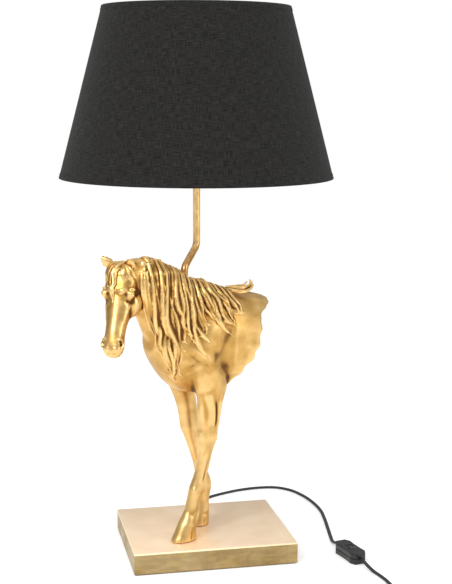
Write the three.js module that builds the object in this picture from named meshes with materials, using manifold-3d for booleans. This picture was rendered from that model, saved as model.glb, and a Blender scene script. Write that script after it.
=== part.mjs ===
// A table lamp: a gilded casting of the front half of a horse on a rectangular plinth, a bent pole that
// rises from its crest, a tapered fabric shade, and a flat twin flex with an inline switch and a plug.
// Millimetres, +Z up. The origin is on the table, under the axis of the shade; the viewer's side is -Y.

import * as THREE from 'three';
import Module from 'manifold-3d';
import { mergeVertices } from 'three/addons/utils/BufferGeometryUtils.js';

const wasm = await Module();
wasm.setup();

// ---- Driving dimensions ------------------------------------------------------------------------------
const GAP = 0.3; // between pieces that touch

const BASE = { width: 228, depth: 186, thickness: 30, offsetX: 11, edge: 1.2 };
const FELT = { thickness: 1, margin: 3 };
const POCKET = { depth: 14, width: 96, length: 122 }; // under the plinth, for the fixings
const CHANNEL = { width: 13, depth: 12 };

const FIGURE = { height: 398, x: -22, y: -27, heading: 205, wall: 5 };
const CONDUIT = { diameter: 7, wall: 1 };
const STUD = { diameter: 5, height: 70 };
const FLEX_DIAMETER = 3.6; // the round inner flex, from the plinth to the lampholder

const POLE = { diameter: 10, wall: 1, bendRadius: 14, belowCrest: 56, bendRise: 26, bendFoot: 8 };
const HOLDER = { radius: 19.5, boreRadius: 14.2, capRadius: 17.5, capHeight: 22, skirtHeight: 42 };
const BULB = { radius: 30, height: 104, capRadius: 13, capHeight: 25 };

const SHADE = {
  bottomDiameter: 374, topDiameter: 254, height: 228.5, fabric: 0.8, lining: 0.6,
  aboveFigure: 102.5, wire: 3.2, fitterRise: 56, sides: 56,
};

const CORD = { width: 5.2, thickness: 3.2, clearance: 0.25 };
const RELIEF = { length: 30, radius: 5.2, tipRadius: 3.3, axisHeight: 7.6 };
const SWITCH = { length: 57, width: 24, lower: 7.8, upper: 8, wall: 2, x: 204, y: -85, heading: -77.5 };
const ROCKER = { radius: 7.4, width: 10, tilt: 10, trunnion: 1.2, aboveFloor: 12.5 };
const COIL = { x: 197.5, y: -252, radius: 28.5, width: 16, height: 10.8 };
const PLUG = { length: 36, width: 26, neckWidth: 13, thickness: 13.5, x: 128, y: -286, heading: 176 };
const PIN = { radius: 2, length: 19, spacing: 18.6 };

// ---- Values that follow from them ---------------------------------------------------------------------
const baseTop = FELT.thickness + BASE.thickness;
const figureScale = FIGURE.height / 398; // the sculpting sections below are those of a 398 mm figure
const shadeBottom = baseTop + FIGURE.height + SHADE.aboveFigure;
const shadeTop = shadeBottom + SHADE.height;
const fitterZ = shadeBottom + SHADE.fitterRise;
const conduitRadius = CONDUIT.diameter / 2;
const poleRadius = POLE.diameter / 2;
const radians = THREE.MathUtils.degToRad;

// ---- Materials ------------------------------------------------------------------------------------------
const finish = (color, roughness, metalness) =>
  new THREE.MeshStandardMaterial({ color, roughness, metalness });
const goldLeaf = finish(0xc79a4b, 0.35, 0.9);
const plinthLeaf = finish(0xd9bb8c, 0.4, 0.7);
const poleGold = finish(0xc8965a, 0.3, 0.95);
const steel = finish(0x9a9da0, 0.35, 0.9);
const brass = finish(0xb08d4a, 0.35, 0.9);
const blackCloth = finish(0x2b2a27, 0.95, 0);
const whiteLining = finish(0xeeece6, 0.6, 0);
const whiteWire = finish(0xdedcd6, 0.5, 0.1);
const blackPlastic = finish(0x161616, 0.45, 0);
const blackVinyl = finish(0x1a1b1d, 0.55, 0);
const greenFelt = finish(0x23231f, 1, 0);
const opal = finish(0xf4f3ee, 0.3, 0);

// ---- Geometry helpers -----------------------------------------------------------------------------------
const lamp = new THREE.Group();

function volumeOf(geometry) {
  const p = geometry.attributes.position;
  const corner = i => new THREE.Vector3().fromBufferAttribute(p, geometry.index.getX(i));
  let sum = 0;
  for (let i = 0; i < geometry.index.count; i += 3) {
    sum += corner(i).dot(corner(i + 1).cross(corner(i + 2))) / 6;
  }
  return sum;
}

// A closed geometry of merged vertices, with no flat triangles and its faces pointing out.
function closed(source) {
  const bare = source.clone();
  bare.deleteAttribute('normal');
  bare.deleteAttribute('uv');
  const merged = mergeVertices(bare, 1e-4);
  const index = [];
  for (let i = 0; i < merged.index.count; i += 3) {
    const [a, b, c] = [0, 1, 2].map(k => merged.index.getX(i + k));
    if (a !== b && b !== c && c !== a) index.push(a, b, c);
  }
  merged.setIndex(index);
  if (volumeOf(merged) < 0) merged.setIndex(index.reverse());
  return merged;
}

function solid(geometry) {
  const g = closed(geometry);
  const mesh = new wasm.Mesh({
    numProp: 3,
    vertProperties: new Float32Array(g.attributes.position.array),
    triVerts: new Uint32Array(g.index.array),
  });
  return new wasm.Manifold(mesh);
}

function geometryOf(manifold) {
  const mesh = manifold.getMesh();
  const g = new THREE.BufferGeometry();
  g.setAttribute('position', new THREE.BufferAttribute(mesh.vertProperties, 3));
  g.setIndex(new THREE.BufferAttribute(mesh.triVerts, 1));
  return g;
}

const joined = shapes => geometryOf(shapes.map(solid).reduce((a, b) => a.add(b)));
const cut = (shape, tools) => geometryOf(tools.map(solid).reduce((a, b) => a.subtract(b), solid(shape)));

function piece(name, geometry, material, parent = lamp) {
  const mesh = new THREE.Mesh(closed(geometry), material);
  mesh.name = name;
  parent.add(mesh);
  return mesh;
}

function box(width, depth, height, x = 0, y = 0, z = 0) {
  return new THREE.BoxGeometry(width, depth, height).translate(x, y, z);
}

// A round bar standing from z = low to z = high.
function bar(radius, low, high, x = 0, y = 0, sides = 20) {
  return new THREE.CylinderGeometry(radius, radius, high - low, sides)
    .rotateX(Math.PI / 2).translate(x, y, (low + high) / 2);
}

// A body of revolution about Z from [radius, height] points.
function turned(profile, sides = 32) {
  const points = profile.map(([r, z]) => new THREE.Vector2(r, z));
  return new THREE.LatheGeometry(points, sides).rotateX(Math.PI / 2);
}

// The same for a ring: the profile closes on itself.
const turnedRing = (profile, sides) => turned([...profile, profile[0]], sides);

function wireRing(radius, wire, z, sides = SHADE.sides) {
  return new THREE.TorusGeometry(radius, wire / 2, 6, sides).translate(0, 0, z);
}

// A section of a round bar, or with an inner radius of a tube, swept along a curve.
function swept(curve, radius, steps, sides = 12, innerRadius = 0) {
  const section = new THREE.Shape().absarc(0, 0, radius, 0, 2 * Math.PI);
  if (innerRadius) section.holes.push(new THREE.Path().absarc(0, 0, innerRadius, 0, 2 * Math.PI));
  return new THREE.ExtrudeGeometry(section, { steps, curveSegments: sides / 2, extrudePath: curve });
}

// The outline extruded upwards from z = low, with its rim edges softened.
function slab(outline, low, height, edge = 0) {
  const shape = new THREE.Shape(outline.map(([x, y]) => new THREE.Vector2(x, y)));
  const options = { depth: height - 2 * edge, bevelEnabled: edge > 0, bevelSegments: 2 };
  Object.assign(options, { bevelSize: edge, bevelThickness: edge, bevelOffset: -edge });
  return new THREE.ExtrudeGeometry(shape, options).translate(0, 0, low + edge);
}

const rectangle = (width, depth, x = 0, y = 0) => [
  [x - width / 2, y - depth / 2], [x + width / 2, y - depth / 2],
  [x + width / 2, y + depth / 2], [x - width / 2, y + depth / 2],
];

const at = ([x, y, z]) => new THREE.Vector3(x, y, z);
const smoothCurve = points => new THREE.CatmullRomCurve3(points.map(at), false, 'centripetal');

// Straight runs between the points, with each corner rounded.
function roundedPath(points, radius) {
  const path = new THREE.CurvePath();
  let from = points[0];
  for (let i = 1; i < points.length - 1; i++) {
    const back = points[i - 1].clone().sub(points[i]);
    const ahead = points[i + 1].clone().sub(points[i]);
    const half = back.angleTo(ahead) / 2;
    const reach = radius / Math.tan(half);
    const enter = points[i].clone().addScaledVector(back.normalize(), reach);
    const leave = points[i].clone().addScaledVector(ahead.normalize(), reach);
    path.add(new THREE.LineCurve3(from, enter));
    path.add(new THREE.QuadraticBezierCurve3(enter, points[i], leave));
    from = leave;
  }
  path.add(new THREE.LineCurve3(from, points[points.length - 1]));
  return path;
}

function hexNut(across, bore, low, height, x = 0, y = 0) {
  const body = new THREE.CylinderGeometry(across / Math.sqrt(3), across / Math.sqrt(3), height, 6)
    .rotateX(Math.PI / 2).translate(x, y, low + height / 2);
  return cut(body, [bar(bore, low - 1, low + height + 1, x, y, 16)]);
}

const washer = (radius, bore, low, height, x, y) =>
  cut(bar(radius, low, low + height, x, y, 24), [bar(bore, low - 1, low + height + 1, x, y, 16)]);

// ---- The horse: where it stands -----------------------------------------------------------------------------
// Its own frame has x to the horse's front, y to its left and z up from the plinth's top, under the crest.
const figure = new THREE.Group();
figure.position.set(FIGURE.x, FIGURE.y, baseTop);
figure.rotation.z = radians(FIGURE.heading);
lamp.add(figure);

const figurePoint = ([u, v, w]) => at([u, v, w]).multiplyScalar(figureScale);
function toLamp(point) {
  return point.clone().applyAxisAngle(new THREE.Vector3(0, 0, 1), figure.rotation.z).add(figure.position);
}

const nearHoof = [12, 20.5];
const farHoof = [-40, -19];
const legCentres = [
  [...nearHoof, 0], [11.5, 20.5, 20], [4.5, 19.5, 41], [0, 20, 55], [-6, 21, 72.5], [-12, 23, 97],
  [-17, 25, 125], [-19.4, 26, 142], [-20, 27.5, 168], [-22, 29, 197], [-23.5, 28, 226], [-24, 26, 246],
].map(figurePoint);
const fixingCeiling = FELT.thickness + POCKET.depth - baseTop; // the pocket's roof, from the plinth's top
const conduitEnd = new THREE.Vector3(legCentres[0].x, legCentres[0].y, fixingCeiling - 6.5);
const conduitCurve = new THREE.CatmullRomCurve3([conduitEnd, ...legCentres], false, 'centripetal');

// ---- Plinth ---------------------------------------------------------------------------------------------------
const nearFixing = toLamp(conduitEnd);
const farFixing = toLamp(figurePoint([...farHoof, 0]));
const pocketX = (nearFixing.x + farFixing.x) / 2;
const pocketY = (nearFixing.y + farFixing.y) / 2;
const rearFace = BASE.depth / 2;

piece('base_felt', slab(rectangle(
  BASE.width - 2 * FELT.margin, BASE.depth - 2 * FELT.margin, BASE.offsetX), 0, FELT.thickness), greenFelt);

const channelRun = rearFace - pocketY;
piece('base_block', cut(
  slab(rectangle(BASE.width, BASE.depth, BASE.offsetX), FELT.thickness + GAP, BASE.thickness - GAP, BASE.edge),
  [
    box(POCKET.width, POCKET.length, POCKET.depth, pocketX, pocketY, FELT.thickness + POCKET.depth / 2),
    box(CHANNEL.width, channelRun + 2, CHANNEL.depth, BASE.offsetX, pocketY + channelRun / 2 + 1,
      FELT.thickness + CHANNEL.depth / 2),
    bar(conduitRadius + GAP, 0, baseTop + 1, nearFixing.x, nearFixing.y),
    bar(STUD.diameter / 2 + GAP, 0, baseTop + 1, farFixing.x, farFixing.y),
  ],
), plinthLeaf);

const pocketRoof = FELT.thickness + POCKET.depth;
for (const [name, place, shaft] of [
  ['conduit', nearFixing, conduitRadius], ['stud', farFixing, STUD.diameter / 2],
]) {
  const nutLow = pocketRoof - 5.6;
  piece(`${name}_washer`, washer(2.4 * shaft, shaft + GAP, pocketRoof - GAP - 1, 1, place.x, place.y), steel);
  piece(`${name}_nut`, hexNut(3.6 * shaft, shaft + GAP, nutLow, 4, place.x, place.y), steel);
}

// ---- The horse: sections ----------------------------------------------------------------------------------------
// A ring is an oval of points: its centre, the two directions of its axes, its half-widths to the horse's
// left and right, and its half-depths to the two ends of the second axis. square above 2 is a fuller oval.
function ring(centre, side, rise, { left, right = left, up, down = up, square = 2.2 }, count = 24) {
  const power = 2 / square;
  const points = [];
  for (let i = 0; i < count; i++) {
    const angle = 2 * Math.PI * i / count;
    const [c, s] = [Math.cos(angle), Math.sin(angle)];
    const across = Math.sign(c) * Math.abs(c) ** power * (c > 0 ? left : right);
    const along = Math.sign(s) * Math.abs(s) ** power * (s > 0 ? up : down);
    points.push(at(centre).addScaledVector(side, across).addScaledVector(rise, along)
      .multiplyScalar(figureScale));
  }
  return points;
}

// A closed skin through the rings, rounded between them.
function skin(rings, between = 2) {
  const strands = rings[0].map((_, k) =>
    new THREE.CatmullRomCurve3(rings.map(r => r[k]), false, 'catmullrom', 0.5));
  const rows = (rings.length - 1) * between + 1;
  const sides = strands.length;
  const points = [];
  for (let i = 0; i < rows; i++) strands.forEach(s => points.push(s.getPoint(i / (rows - 1))));
  const middle = from => points.slice(from, from + sides)
    .reduce((sum, p) => sum.add(p), new THREE.Vector3()).divideScalar(sides);
  points.push(middle(0), middle((rows - 1) * sides));
  const index = [];
  for (let k = 0; k < sides; k++) {
    const next = (k + 1) % sides;
    for (let i = 0; i < rows - 1; i++) {
      const [a, b] = [i * sides + k, i * sides + next];
      index.push(a, b, b + sides, a, b + sides, a + sides);
    }
    index.push(rows * sides, next, k);
    const last = (rows - 1) * sides;
    index.push(rows * sides + 1, last + k, last + next);
  }
  const g = new THREE.BufferGeometry().setFromPoints(points);
  g.setIndex(index);
  return closed(g);
}

const forward = new THREE.Vector3(1, 0, 0);
const leftward = new THREE.Vector3(0, 1, 0);
const upward = new THREE.Vector3(0, 0, 1);

// The trunk, from the torn rear to the breast: [u, top, bottom, half-width].
const trunkStations = [
  [-160, 320, 190, 44], [-135, 329, 186, 49], [-110, 336, 188, 51], [-85, 341, 193, 51],
  [-60, 346, 199, 50], [-35, 350, 202, 47], [-12, 350, 204, 45], [10, 342, 208, 42],
  [30, 326, 222, 37], [48, 310, 246, 28], [60, 300, 266, 16],
];
const trunkRings = inset => trunkStations.map(([u, top, bottom, half]) => ring(
  [u, 0, (top + bottom) / 2], leftward, upward,
  { left: half - inset, up: (top - bottom) / 2 - inset, square: 2.3 }));

// The neck, from inside the trunk to the poll: the crest's point, the throat's point and half the width.
// The mane falls on its left side, and fills that side out.
const MANE_FULLNESS = 4;
const neckStations = [
  [[-48, 0, 350], [-8, 0, 216], 38], [[-22, 0, 358], [24, 0, 226], 37], [[2, 0, 368], [46, 0, 252], 32],
  [[22, 0, 379], [62, 0, 284], 26], [[42, 0, 389], [74, 0, 312], 21.5], [[60, 0, 396], [84, 1, 332], 18.5],
  [[77, 0, 399], [94, 2, 344], 16.5], [[92, -1, 397], [103, 2, 354], 14],
];
const neckRings = neckStations.map(([crest, throat, half]) => {
  const rise = at(crest).sub(at(throat));
  const depth = rise.length() / 2;
  const centre = at(crest).add(at(throat)).multiplyScalar(0.5);
  return ring(centre.toArray(), leftward, rise.normalize(),
    { left: half + MANE_FULLNESS, right: half, up: depth, square: 2.1 });
});

// The head hangs from the poll, turned to the horse's left: distances run from the poll to the muzzle.
const HEAD = { poll: [97.5, -1.5, 389], turn: 39, lean: 23.5 };
const headFacing = new THREE.Vector3(Math.cos(radians(HEAD.turn)), Math.sin(radians(HEAD.turn)), 0);
const headSide = new THREE.Vector3(-headFacing.y, headFacing.x, 0);
const headDown = headFacing.clone().multiplyScalar(Math.sin(radians(HEAD.lean)))
  .addScaledVector(upward, -Math.cos(radians(HEAD.lean)));
const headFront = new THREE.Vector3().crossVectors(headSide, headDown).multiplyScalar(-1);
const onHead = (along, side, front) => at(HEAD.poll).addScaledVector(headDown, along)
  .addScaledVector(headSide, side).addScaledVector(headFront, front);

// [distance, half-width, depth to the face, depth to the jaw, squareness]
const headStations = [
  [-7, 9, 5, 9, 2], [2, 15, 10, 20, 2], [14, 19.5, 13, 30, 2.2], [30, 21, 14, 37, 2.3],
  [46, 19, 13, 41, 2.3], [60, 16, 12, 34, 2.3], [76, 13.2, 11.5, 22, 2.3],
  [96, 13, 11, 16, 2.3], [108, 14.2, 10, 16.5, 2.4], [117, 11.5, 7, 13, 2.2], [122, 6, 2, 7, 2],
];
const headRings = headStations.map(([along, half, face, jaw, square]) =>
  ring(onHead(along, 0, 0).toArray(), headSide, headFront, { left: half, up: face, down: jaw, square }, 20));

function ball(centre, radii) {
  return new THREE.SphereGeometry(1, 14, 10).scale(...radii.map(r => r * figureScale))
    .translate(...figurePoint(centre).toArray());
}

// An ear is a leaf-shaped cone, from its root to its tip.
function ear(root, tip, facing, width) {
  const [from, to] = [at(root), at(tip)];
  const run = to.clone().sub(from);
  const side = new THREE.Vector3().crossVectors(run, facing).normalize();
  const thick = new THREE.Vector3().crossVectors(side, run).normalize();
  const rings = [[0, 0.7], [0.3, 1], [0.6, 0.85], [0.85, 0.45], [1, 0.12]].map(([t, share]) =>
    ring(from.clone().addScaledVector(run, t).toArray(), side, thick,
      { left: width * share, up: width * 0.5 * share, square: 2 }, 10));
  return skin(rings);
}

// A leg: [u, v, w, half-length fore and aft, half-width].
const nearLegStations = [
  [-8, 24, 292, 30, 16], [-10, 28, 262, 33, 18], [-17, 30.5, 235, 29, 17.5], [-23, 31, 213, 24.5, 15.5],
  [-22, 30, 197, 20.5, 14], [-20.5, 29, 183, 18.5, 12.8], [-20, 28, 168, 16.3, 12], [-20, 27, 154, 15.2, 12],
  [-19.4, 26, 142, 15.4, 12.4], [-18.2, 25.5, 132, 12.8, 10.8], [-17, 25, 122, 10.4, 9.2],
  [-14.8, 24, 110, 9.6, 8.4], [-12, 23, 97, 9.3, 8.2], [-9, 22, 85, 10, 8.6], [-6, 21, 72.5, 12, 10],
  [-3, 20.5, 63, 11, 9.4], [0, 20, 55, 9.8, 8.6], [4, 19.5, 41, 9.6, 8.4], [8, 20, 31, 11.4, 10.4],
  [11, 20.5, 24, 13.4, 11.6], [14, 20.5, 11, 17, 12.6], [16.5, 20.5, 1.5, 20, 13.4], [16.5, 20.5, 0, 19.4, 12.8],
];
const farLegStations = [
  [-6, -22, 290, 28, 15], [-6, -27, 258, 31, 17.5], [-10, -30, 230, 27, 17], [-16, -31, 207, 19.5, 14.5],
  [-22, -30, 187, 16.5, 12.8], [-25, -28.5, 170, 14.8, 11.8], [-25.5, -27, 156, 13.8, 11.8],
  [-26, -26, 145, 13.4, 11.8], [-28.5, -25.5, 134, 11, 10], [-31, -25, 124, 9.6, 8.8],
  [-35, -24, 110, 9, 8.2], [-40, -23, 94, 8.8, 8], [-43.5, -22, 79, 9.4, 8.6], [-46.5, -21, 67, 11.4, 9.8],
  [-47.5, -20, 57, 12, 10], [-46.5, -19.5, 47, 10.4, 9], [-44.5, -19, 35, 9.4, 8.4], [-43.5, -19, 24, 11.2, 10.2],
  [-41.5, -19, 17, 12, 11], [-39.5, -19, 8, 13.8, 12], [-38, -19, 1.5, 15.4, 12.8], [-38, -19, 0, 14.8, 12.2],
];
const legSkin = stations => skin(stations.map(([u, v, w, long, wide]) =>
  ring([u, v, w], leftward, forward, { left: wide, up: long, square: 2.15 }, 16)), 1);

// The rear is torn off along a ragged edge: the cutter's outline in the horse's side view, for each flank.
const tornLeft = [
  [-138, 345], [-137, 330], [-127, 322], [-116, 317], [-103, 311], [-99, 300], [-100, 290], [-94, 281],
  [-95, 268], [-86, 259], [-84, 248], [-72, 242], [-66, 230], [-54, 222], [-50, 206], [-52, 160],
];
const tornRight = [
  [-138, 345], [-136, 330], [-128, 322], [-122, 306], [-108, 300], [-104, 282], [-90, 276], [-92, 258],
  [-78, 250], [-74, 236], [-60, 230], [-56, 212], [-58, 160],
];
function tearCutter(edge, side) {
  const outline = [...edge, [-230, 160], [-230, 345]].map(([u, w]) => new THREE.Vector2(u, w));
  return new THREE.ExtrudeGeometry(new THREE.Shape(outline), { depth: 80, bevelEnabled: false })
    .rotateX(Math.PI / 2).translate(0, side > 0 ? 80 : 0.01, 0).scale(figureScale, figureScale, figureScale);
}

// The hollow follows the trunk, a wall's thickness inside it, and stops behind the breast.
const hollow = skin(trunkRings(FIGURE.wall / figureScale).slice(0, 8));
const poleFoot = new THREE.Vector3(0, 0, (372 - POLE.belowCrest) * figureScale);
const conduitBore = swept(conduitCurve, conduitRadius + GAP, 36, 12);
const studTop = STUD.height;
const studPlace = figurePoint([...farHoof, 0]);

const head = [
  skin(headRings),
  ball(onHead(39, 17.5, 7).toArray(), [5.8, 5.8, 5.8]), ball(onHead(39, -17.5, 7).toArray(), [5.8, 5.8, 5.8]),
  ear(onHead(3, 12, 0).toArray(), [98, 15, 402], headFacing, 7.5),
  ear(onHead(3, -12, 0).toArray(), [122, -19, 402.5], headFacing, 7.5),
];
const casting = joined([
  skin(trunkRings(0)), skin(neckRings), ...head, legSkin(nearLegStations), legSkin(farLegStations),
]);
piece('horse_figure', cut(casting, [
  hollow, tearCutter(tornLeft, 1), tearCutter(tornRight, -1), conduitBore,
  bar(poleRadius + GAP, poleFoot.z - 1, FIGURE.height),
  bar(STUD.diameter / 2 + GAP, -1, studTop + GAP, studPlace.x, studPlace.y, 12),
]).translate(0, 0, GAP), goldLeaf, figure);

// The conduit carries the flex up the near leg; a stud holds the far one.
piece('leg_conduit', swept(conduitCurve, conduitRadius, 36, 12, conduitRadius - CONDUIT.wall), steel, figure);
piece('leg_stud', bar(STUD.diameter / 2, fixingCeiling - 6.5, studTop, studPlace.x, studPlace.y, 12),
  steel, figure);

// ---- Pole -------------------------------------------------------------------------------------------------------
const crestZ = baseTop + 372 * figureScale;
const holderBottom = fitterZ - 34;
const poleTop = holderBottom + 10;
const poleFootInLamp = toLamp(poleFoot);
const bendLow = crestZ + POLE.bendFoot;
const poleCurve = roundedPath([
  poleFootInLamp, at([FIGURE.x, FIGURE.y, bendLow]), at([0, 0, bendLow + POLE.bendRise]), at([0, 0, poleTop]),
], POLE.bendRadius);
piece('pole', swept(poleCurve, poleRadius, 36, 12, poleRadius - POLE.wall), poleGold);

const poleNutLow = poleFoot.z + 2;
piece('pole_nut', hexNut(17, poleRadius + GAP, poleNutLow, 5), steel, figure);

// ---- Lampholder ----------------------------------------------------------------------------------------------------
const capTop = holderBottom + HOLDER.capHeight;
const bodyTop = capTop + HOLDER.skirtHeight;
piece('pole_locknut', hexNut(16, poleRadius + GAP, holderBottom - GAP - 4, 4), brass);
piece('holder_cap', turnedRing([
  [poleRadius + GAP, holderBottom], [HOLDER.capRadius - 4, holderBottom], [HOLDER.capRadius, holderBottom + 5],
  [HOLDER.capRadius, capTop - GAP], [HOLDER.capRadius - 2, capTop - GAP],
  [HOLDER.capRadius - 2, holderBottom + 8], [poleRadius + GAP, holderBottom + 8],
]), blackPlastic);
piece('holder_skirt', turnedRing([
  [HOLDER.boreRadius, capTop], [HOLDER.radius, capTop], [HOLDER.radius, fitterZ - 3],
  [HOLDER.radius + 3, fitterZ - 3], [HOLDER.radius + 3, fitterZ - GAP], [HOLDER.radius, fitterZ - GAP],
  [HOLDER.radius, bodyTop], [HOLDER.boreRadius, bodyTop],
]), blackPlastic);
piece('holder_insert', turned([
  [0, capTop + GAP], [HOLDER.boreRadius - GAP, capTop + GAP], [HOLDER.boreRadius - GAP, capTop + 7],
  [0, capTop + 7],
]), whiteLining);
piece('centre_contact', box(12, 5, 0.8, 0, 0, capTop + 7 + GAP + 0.4), brass);
piece('shade_ring', turnedRing([
  [HOLDER.radius + GAP, fitterZ + 2 + GAP], [HOLDER.radius + 7, fitterZ + 2 + GAP],
  [HOLDER.radius + 7, fitterZ + 7], [HOLDER.radius + GAP, fitterZ + 7],
], 24), blackPlastic);

const bulbFoot = capTop + 9;
const bulbNeck = bulbFoot + BULB.capHeight;
const bulbTop = bulbFoot + BULB.height;
piece('bulb_cap', turned([
  [0, bulbFoot], [4, bulbFoot], [BULB.capRadius, bulbFoot + 5], [BULB.capRadius, bulbNeck], [0, bulbNeck],
]), steel);
const globeRise = bulbTop - BULB.radius;
const neckRadius = HOLDER.boreRadius - 2 * GAP;
const globe = [
  [0, bulbNeck + GAP], [neckRadius, bulbNeck + GAP], [neckRadius, bodyTop + 1], [neckRadius + 5, bodyTop + 11],
];
for (let i = 0; i <= 8; i++) {
  const angle = radians(-20 + i * 110 / 8);
  const r = i === 8 ? 0 : BULB.radius * Math.cos(angle);
  globe.push([r, globeRise + BULB.radius * Math.sin(angle)]);
}
piece('bulb_globe', turned(globe), opal);

// ---- Shade -----------------------------------------------------------------------------------------------------------
const slope = (SHADE.bottomDiameter - SHADE.topDiameter) / 2 / SHADE.height;
const shadeRadius = z => SHADE.bottomDiameter / 2 - (z - shadeBottom) * slope;
function cone(inset, thickness, low, high) {
  const outer = z => shadeRadius(z) - inset;
  return turnedRing([
    [outer(low) - thickness, low], [outer(low), low], [outer(high), high], [outer(high) - thickness, high],
  ], SHADE.sides);
}
piece('shade_fabric', cone(0, SHADE.fabric, shadeBottom, shadeTop), blackCloth);
const liningInset = SHADE.fabric + GAP;
piece('shade_lining', cone(liningInset, SHADE.lining, shadeBottom + 1, shadeTop - 1), whiteLining);

const wireInset = liningInset + SHADE.lining + SHADE.wire / 2 + 2 * GAP;
const topWireZ = shadeTop - 3;
const bottomWireZ = shadeBottom + 3;
piece('shade_top_wire', wireRing(shadeRadius(topWireZ) - wireInset, SHADE.wire, topWireZ), whiteWire);

const fitter = turnedRing([
  [HOLDER.radius + GAP, fitterZ], [HOLDER.radius + 6, fitterZ], [HOLDER.radius + 6, fitterZ + 2],
  [HOLDER.radius + GAP, fitterZ + 2],
], 24);
const arms = [90, 210, 330].map(turn => {
  const [c, s] = [Math.cos(radians(turn)), Math.sin(radians(turn))];
  const reach = shadeRadius(bottomWireZ) - wireInset;
  const curve = smoothCurve([[reach, bottomWireZ], [reach * 0.8, bottomWireZ + 12], [60, fitterZ - 6],
    [HOLDER.radius + 4.5, fitterZ + 0.4]].map(([r, z]) => [c * r, s * r, z]));
  return swept(curve, SHADE.wire / 2 - 0.2, 8, 8);
});
piece('shade_frame', cut(joined([
  wireRing(shadeRadius(bottomWireZ) - wireInset, SHADE.wire, bottomWireZ), fitter, ...arms,
]), [bar(HOLDER.radius + 3 + GAP, fitterZ - 8, fitterZ, 0, 0, 24)]), whiteWire);

// ---- Flex inside the lamp --------------------------------------------------------------------------------------------
const exitX = BASE.offsetX;
const clampY = rearFace - 26;
const inBase = [
  [exitX, rearFace - 12, RELIEF.axisHeight], [exitX, clampY + 8, RELIEF.axisHeight],
  [exitX, clampY - 8, RELIEF.axisHeight], [exitX - 4, clampY - 30, 6],
  [nearFixing.x + 12, nearFixing.y + 26, 4.5], [nearFixing.x + 3, nearFixing.y + 9, 4.3],
  [nearFixing.x + 0.8, nearFixing.y + 2.2, 4.7], [nearFixing.x, nearFixing.y, 7],
].map(at);
const upLeg = conduitCurve.getPoints(30).map(toLamp);
const upPole = poleCurve.getSpacedPoints(32).slice(1);
const inTrunk = toLamp(figurePoint([-20, 18, 274]));
const belowPole = toLamp(poleFoot.clone().add(new THREE.Vector3(0, 0, -12)));
const flexCurve = new THREE.CatmullRomCurve3([...inBase, ...upLeg, inTrunk, belowPole, ...upPole]);
piece('inner_flex', swept(flexCurve, FLEX_DIAMETER / 2, 80, 8), blackVinyl);

const clampBody = cut(box(11, 9, 7, exitX, clampY, RELIEF.axisHeight), [
  new THREE.CylinderGeometry(FLEX_DIAMETER / 2 + GAP, FLEX_DIAMETER / 2 + GAP, 12, 12)
    .translate(exitX, clampY, RELIEF.axisHeight),
]);
piece('flex_clamp', clampBody, blackPlastic);

// ---- Strain relief, lead and switch ------------------------------------------------------------------------------------
const relief = turned([
  [0, -9], [RELIEF.radius, -9], [RELIEF.radius, 1], [RELIEF.radius * 0.86, 4],
  [RELIEF.tipRadius, RELIEF.length], [0, RELIEF.length],
], 16).rotateX(-Math.PI / 2).translate(exitX, rearFace, RELIEF.axisHeight);
piece('strain_relief', relief, blackVinyl);

const cordZ = CORD.thickness / 2 + CORD.clearance;
const flatSection = curve => {
  const upright = Math.abs(curve.computeFrenetFrames(1, false).normals[0].z) > 0.7;
  const [a, b] = [CORD.thickness / 2, CORD.width / 2];
  const corners = [[a, 0.55 * b], [0.55 * a, b], [-0.55 * a, b], [-a, 0.55 * b]];
  const all = [...corners, ...corners.map(([x, y]) => [-x, -y])];
  return new THREE.Shape(all.map(([x, y]) => (upright ? new THREE.Vector2(x, y) : new THREE.Vector2(y, x))));
};
function flatCord(points, step = 2.5) {
  const curve = smoothCurve(points);
  const steps = Math.ceil(curve.getLength() / (step * CORD.width));
  return new THREE.ExtrudeGeometry(flatSection(curve), { steps, extrudePath: curve });
}

const reliefEnd = rearFace + RELIEF.length;
const leadRoute = [
  [11, 123.3, 7.6], [11, 130, 6.6], [11.5, 139, 3.8], [13.5, 149, 2.1], [18, 160, cordZ], [25, 173, cordZ],
  [36, 187, cordZ], [57, 202, cordZ], [84, 217, cordZ], [116, 229, cordZ], [148, 234, cordZ],
  [175, 230, cordZ], [195, 213, cordZ], [207, 187, cordZ], [215, 150, cordZ], [217, 108, cordZ],
  [212, 68, cordZ], [205.5, 30, cordZ], [199.5, -4, cordZ], [196, -25, 2.6], [195.3, -38, 5.4],
  [196.3, -50.2, 7.6], [197.7, -56.59, 7.95],
];
piece('cord_lead', flatCord(leadRoute), blackVinyl);

const inline = new THREE.Group();
inline.position.set(SWITCH.x, SWITCH.y, 0);
inline.rotation.z = radians(SWITCH.heading);
lamp.add(inline);
const switchOutline = inset => {
  const [l, w] = [SWITCH.length / 2 - inset, SWITCH.width / 2 - inset];
  const quarter = [[l, 0.62 * w], [0.72 * l, 0.98 * w], [0.3 * l, 0.9 * w]];
  const half = [...quarter, ...quarter.map(([x, y]) => [-x, y]).reverse()];
  return [...half, ...half.map(([x, y]) => [-x, -y])];
};
const switchTop = SWITCH.lower + GAP + SWITCH.upper;
const screwPlaces = [[17, 5.6], [-17, -5.6]];
const lowerShell = cut(slab(switchOutline(0), CORD.clearance, SWITCH.lower - CORD.clearance, 0.8), [
  slab(switchOutline(SWITCH.wall), SWITCH.wall, SWITCH.lower),
  ...screwPlaces.map(([x, y]) => bar(1.5, -1, SWITCH.lower, x, y, 12)),
]);
piece('switch_lower', lowerShell, blackPlastic, inline);
const upperLow = SWITCH.lower + GAP;
const wellWall = 1.6;
const wellWidth = ROCKER.width + 2 * (GAP + wellWall);
const windowLength = 2 * (ROCKER.radius + GAP);
const acrossBar = (radius, length) => new THREE.CylinderGeometry(radius, radius, length, 16)
  .translate(0, 0, ROCKER.aboveFloor);
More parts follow.
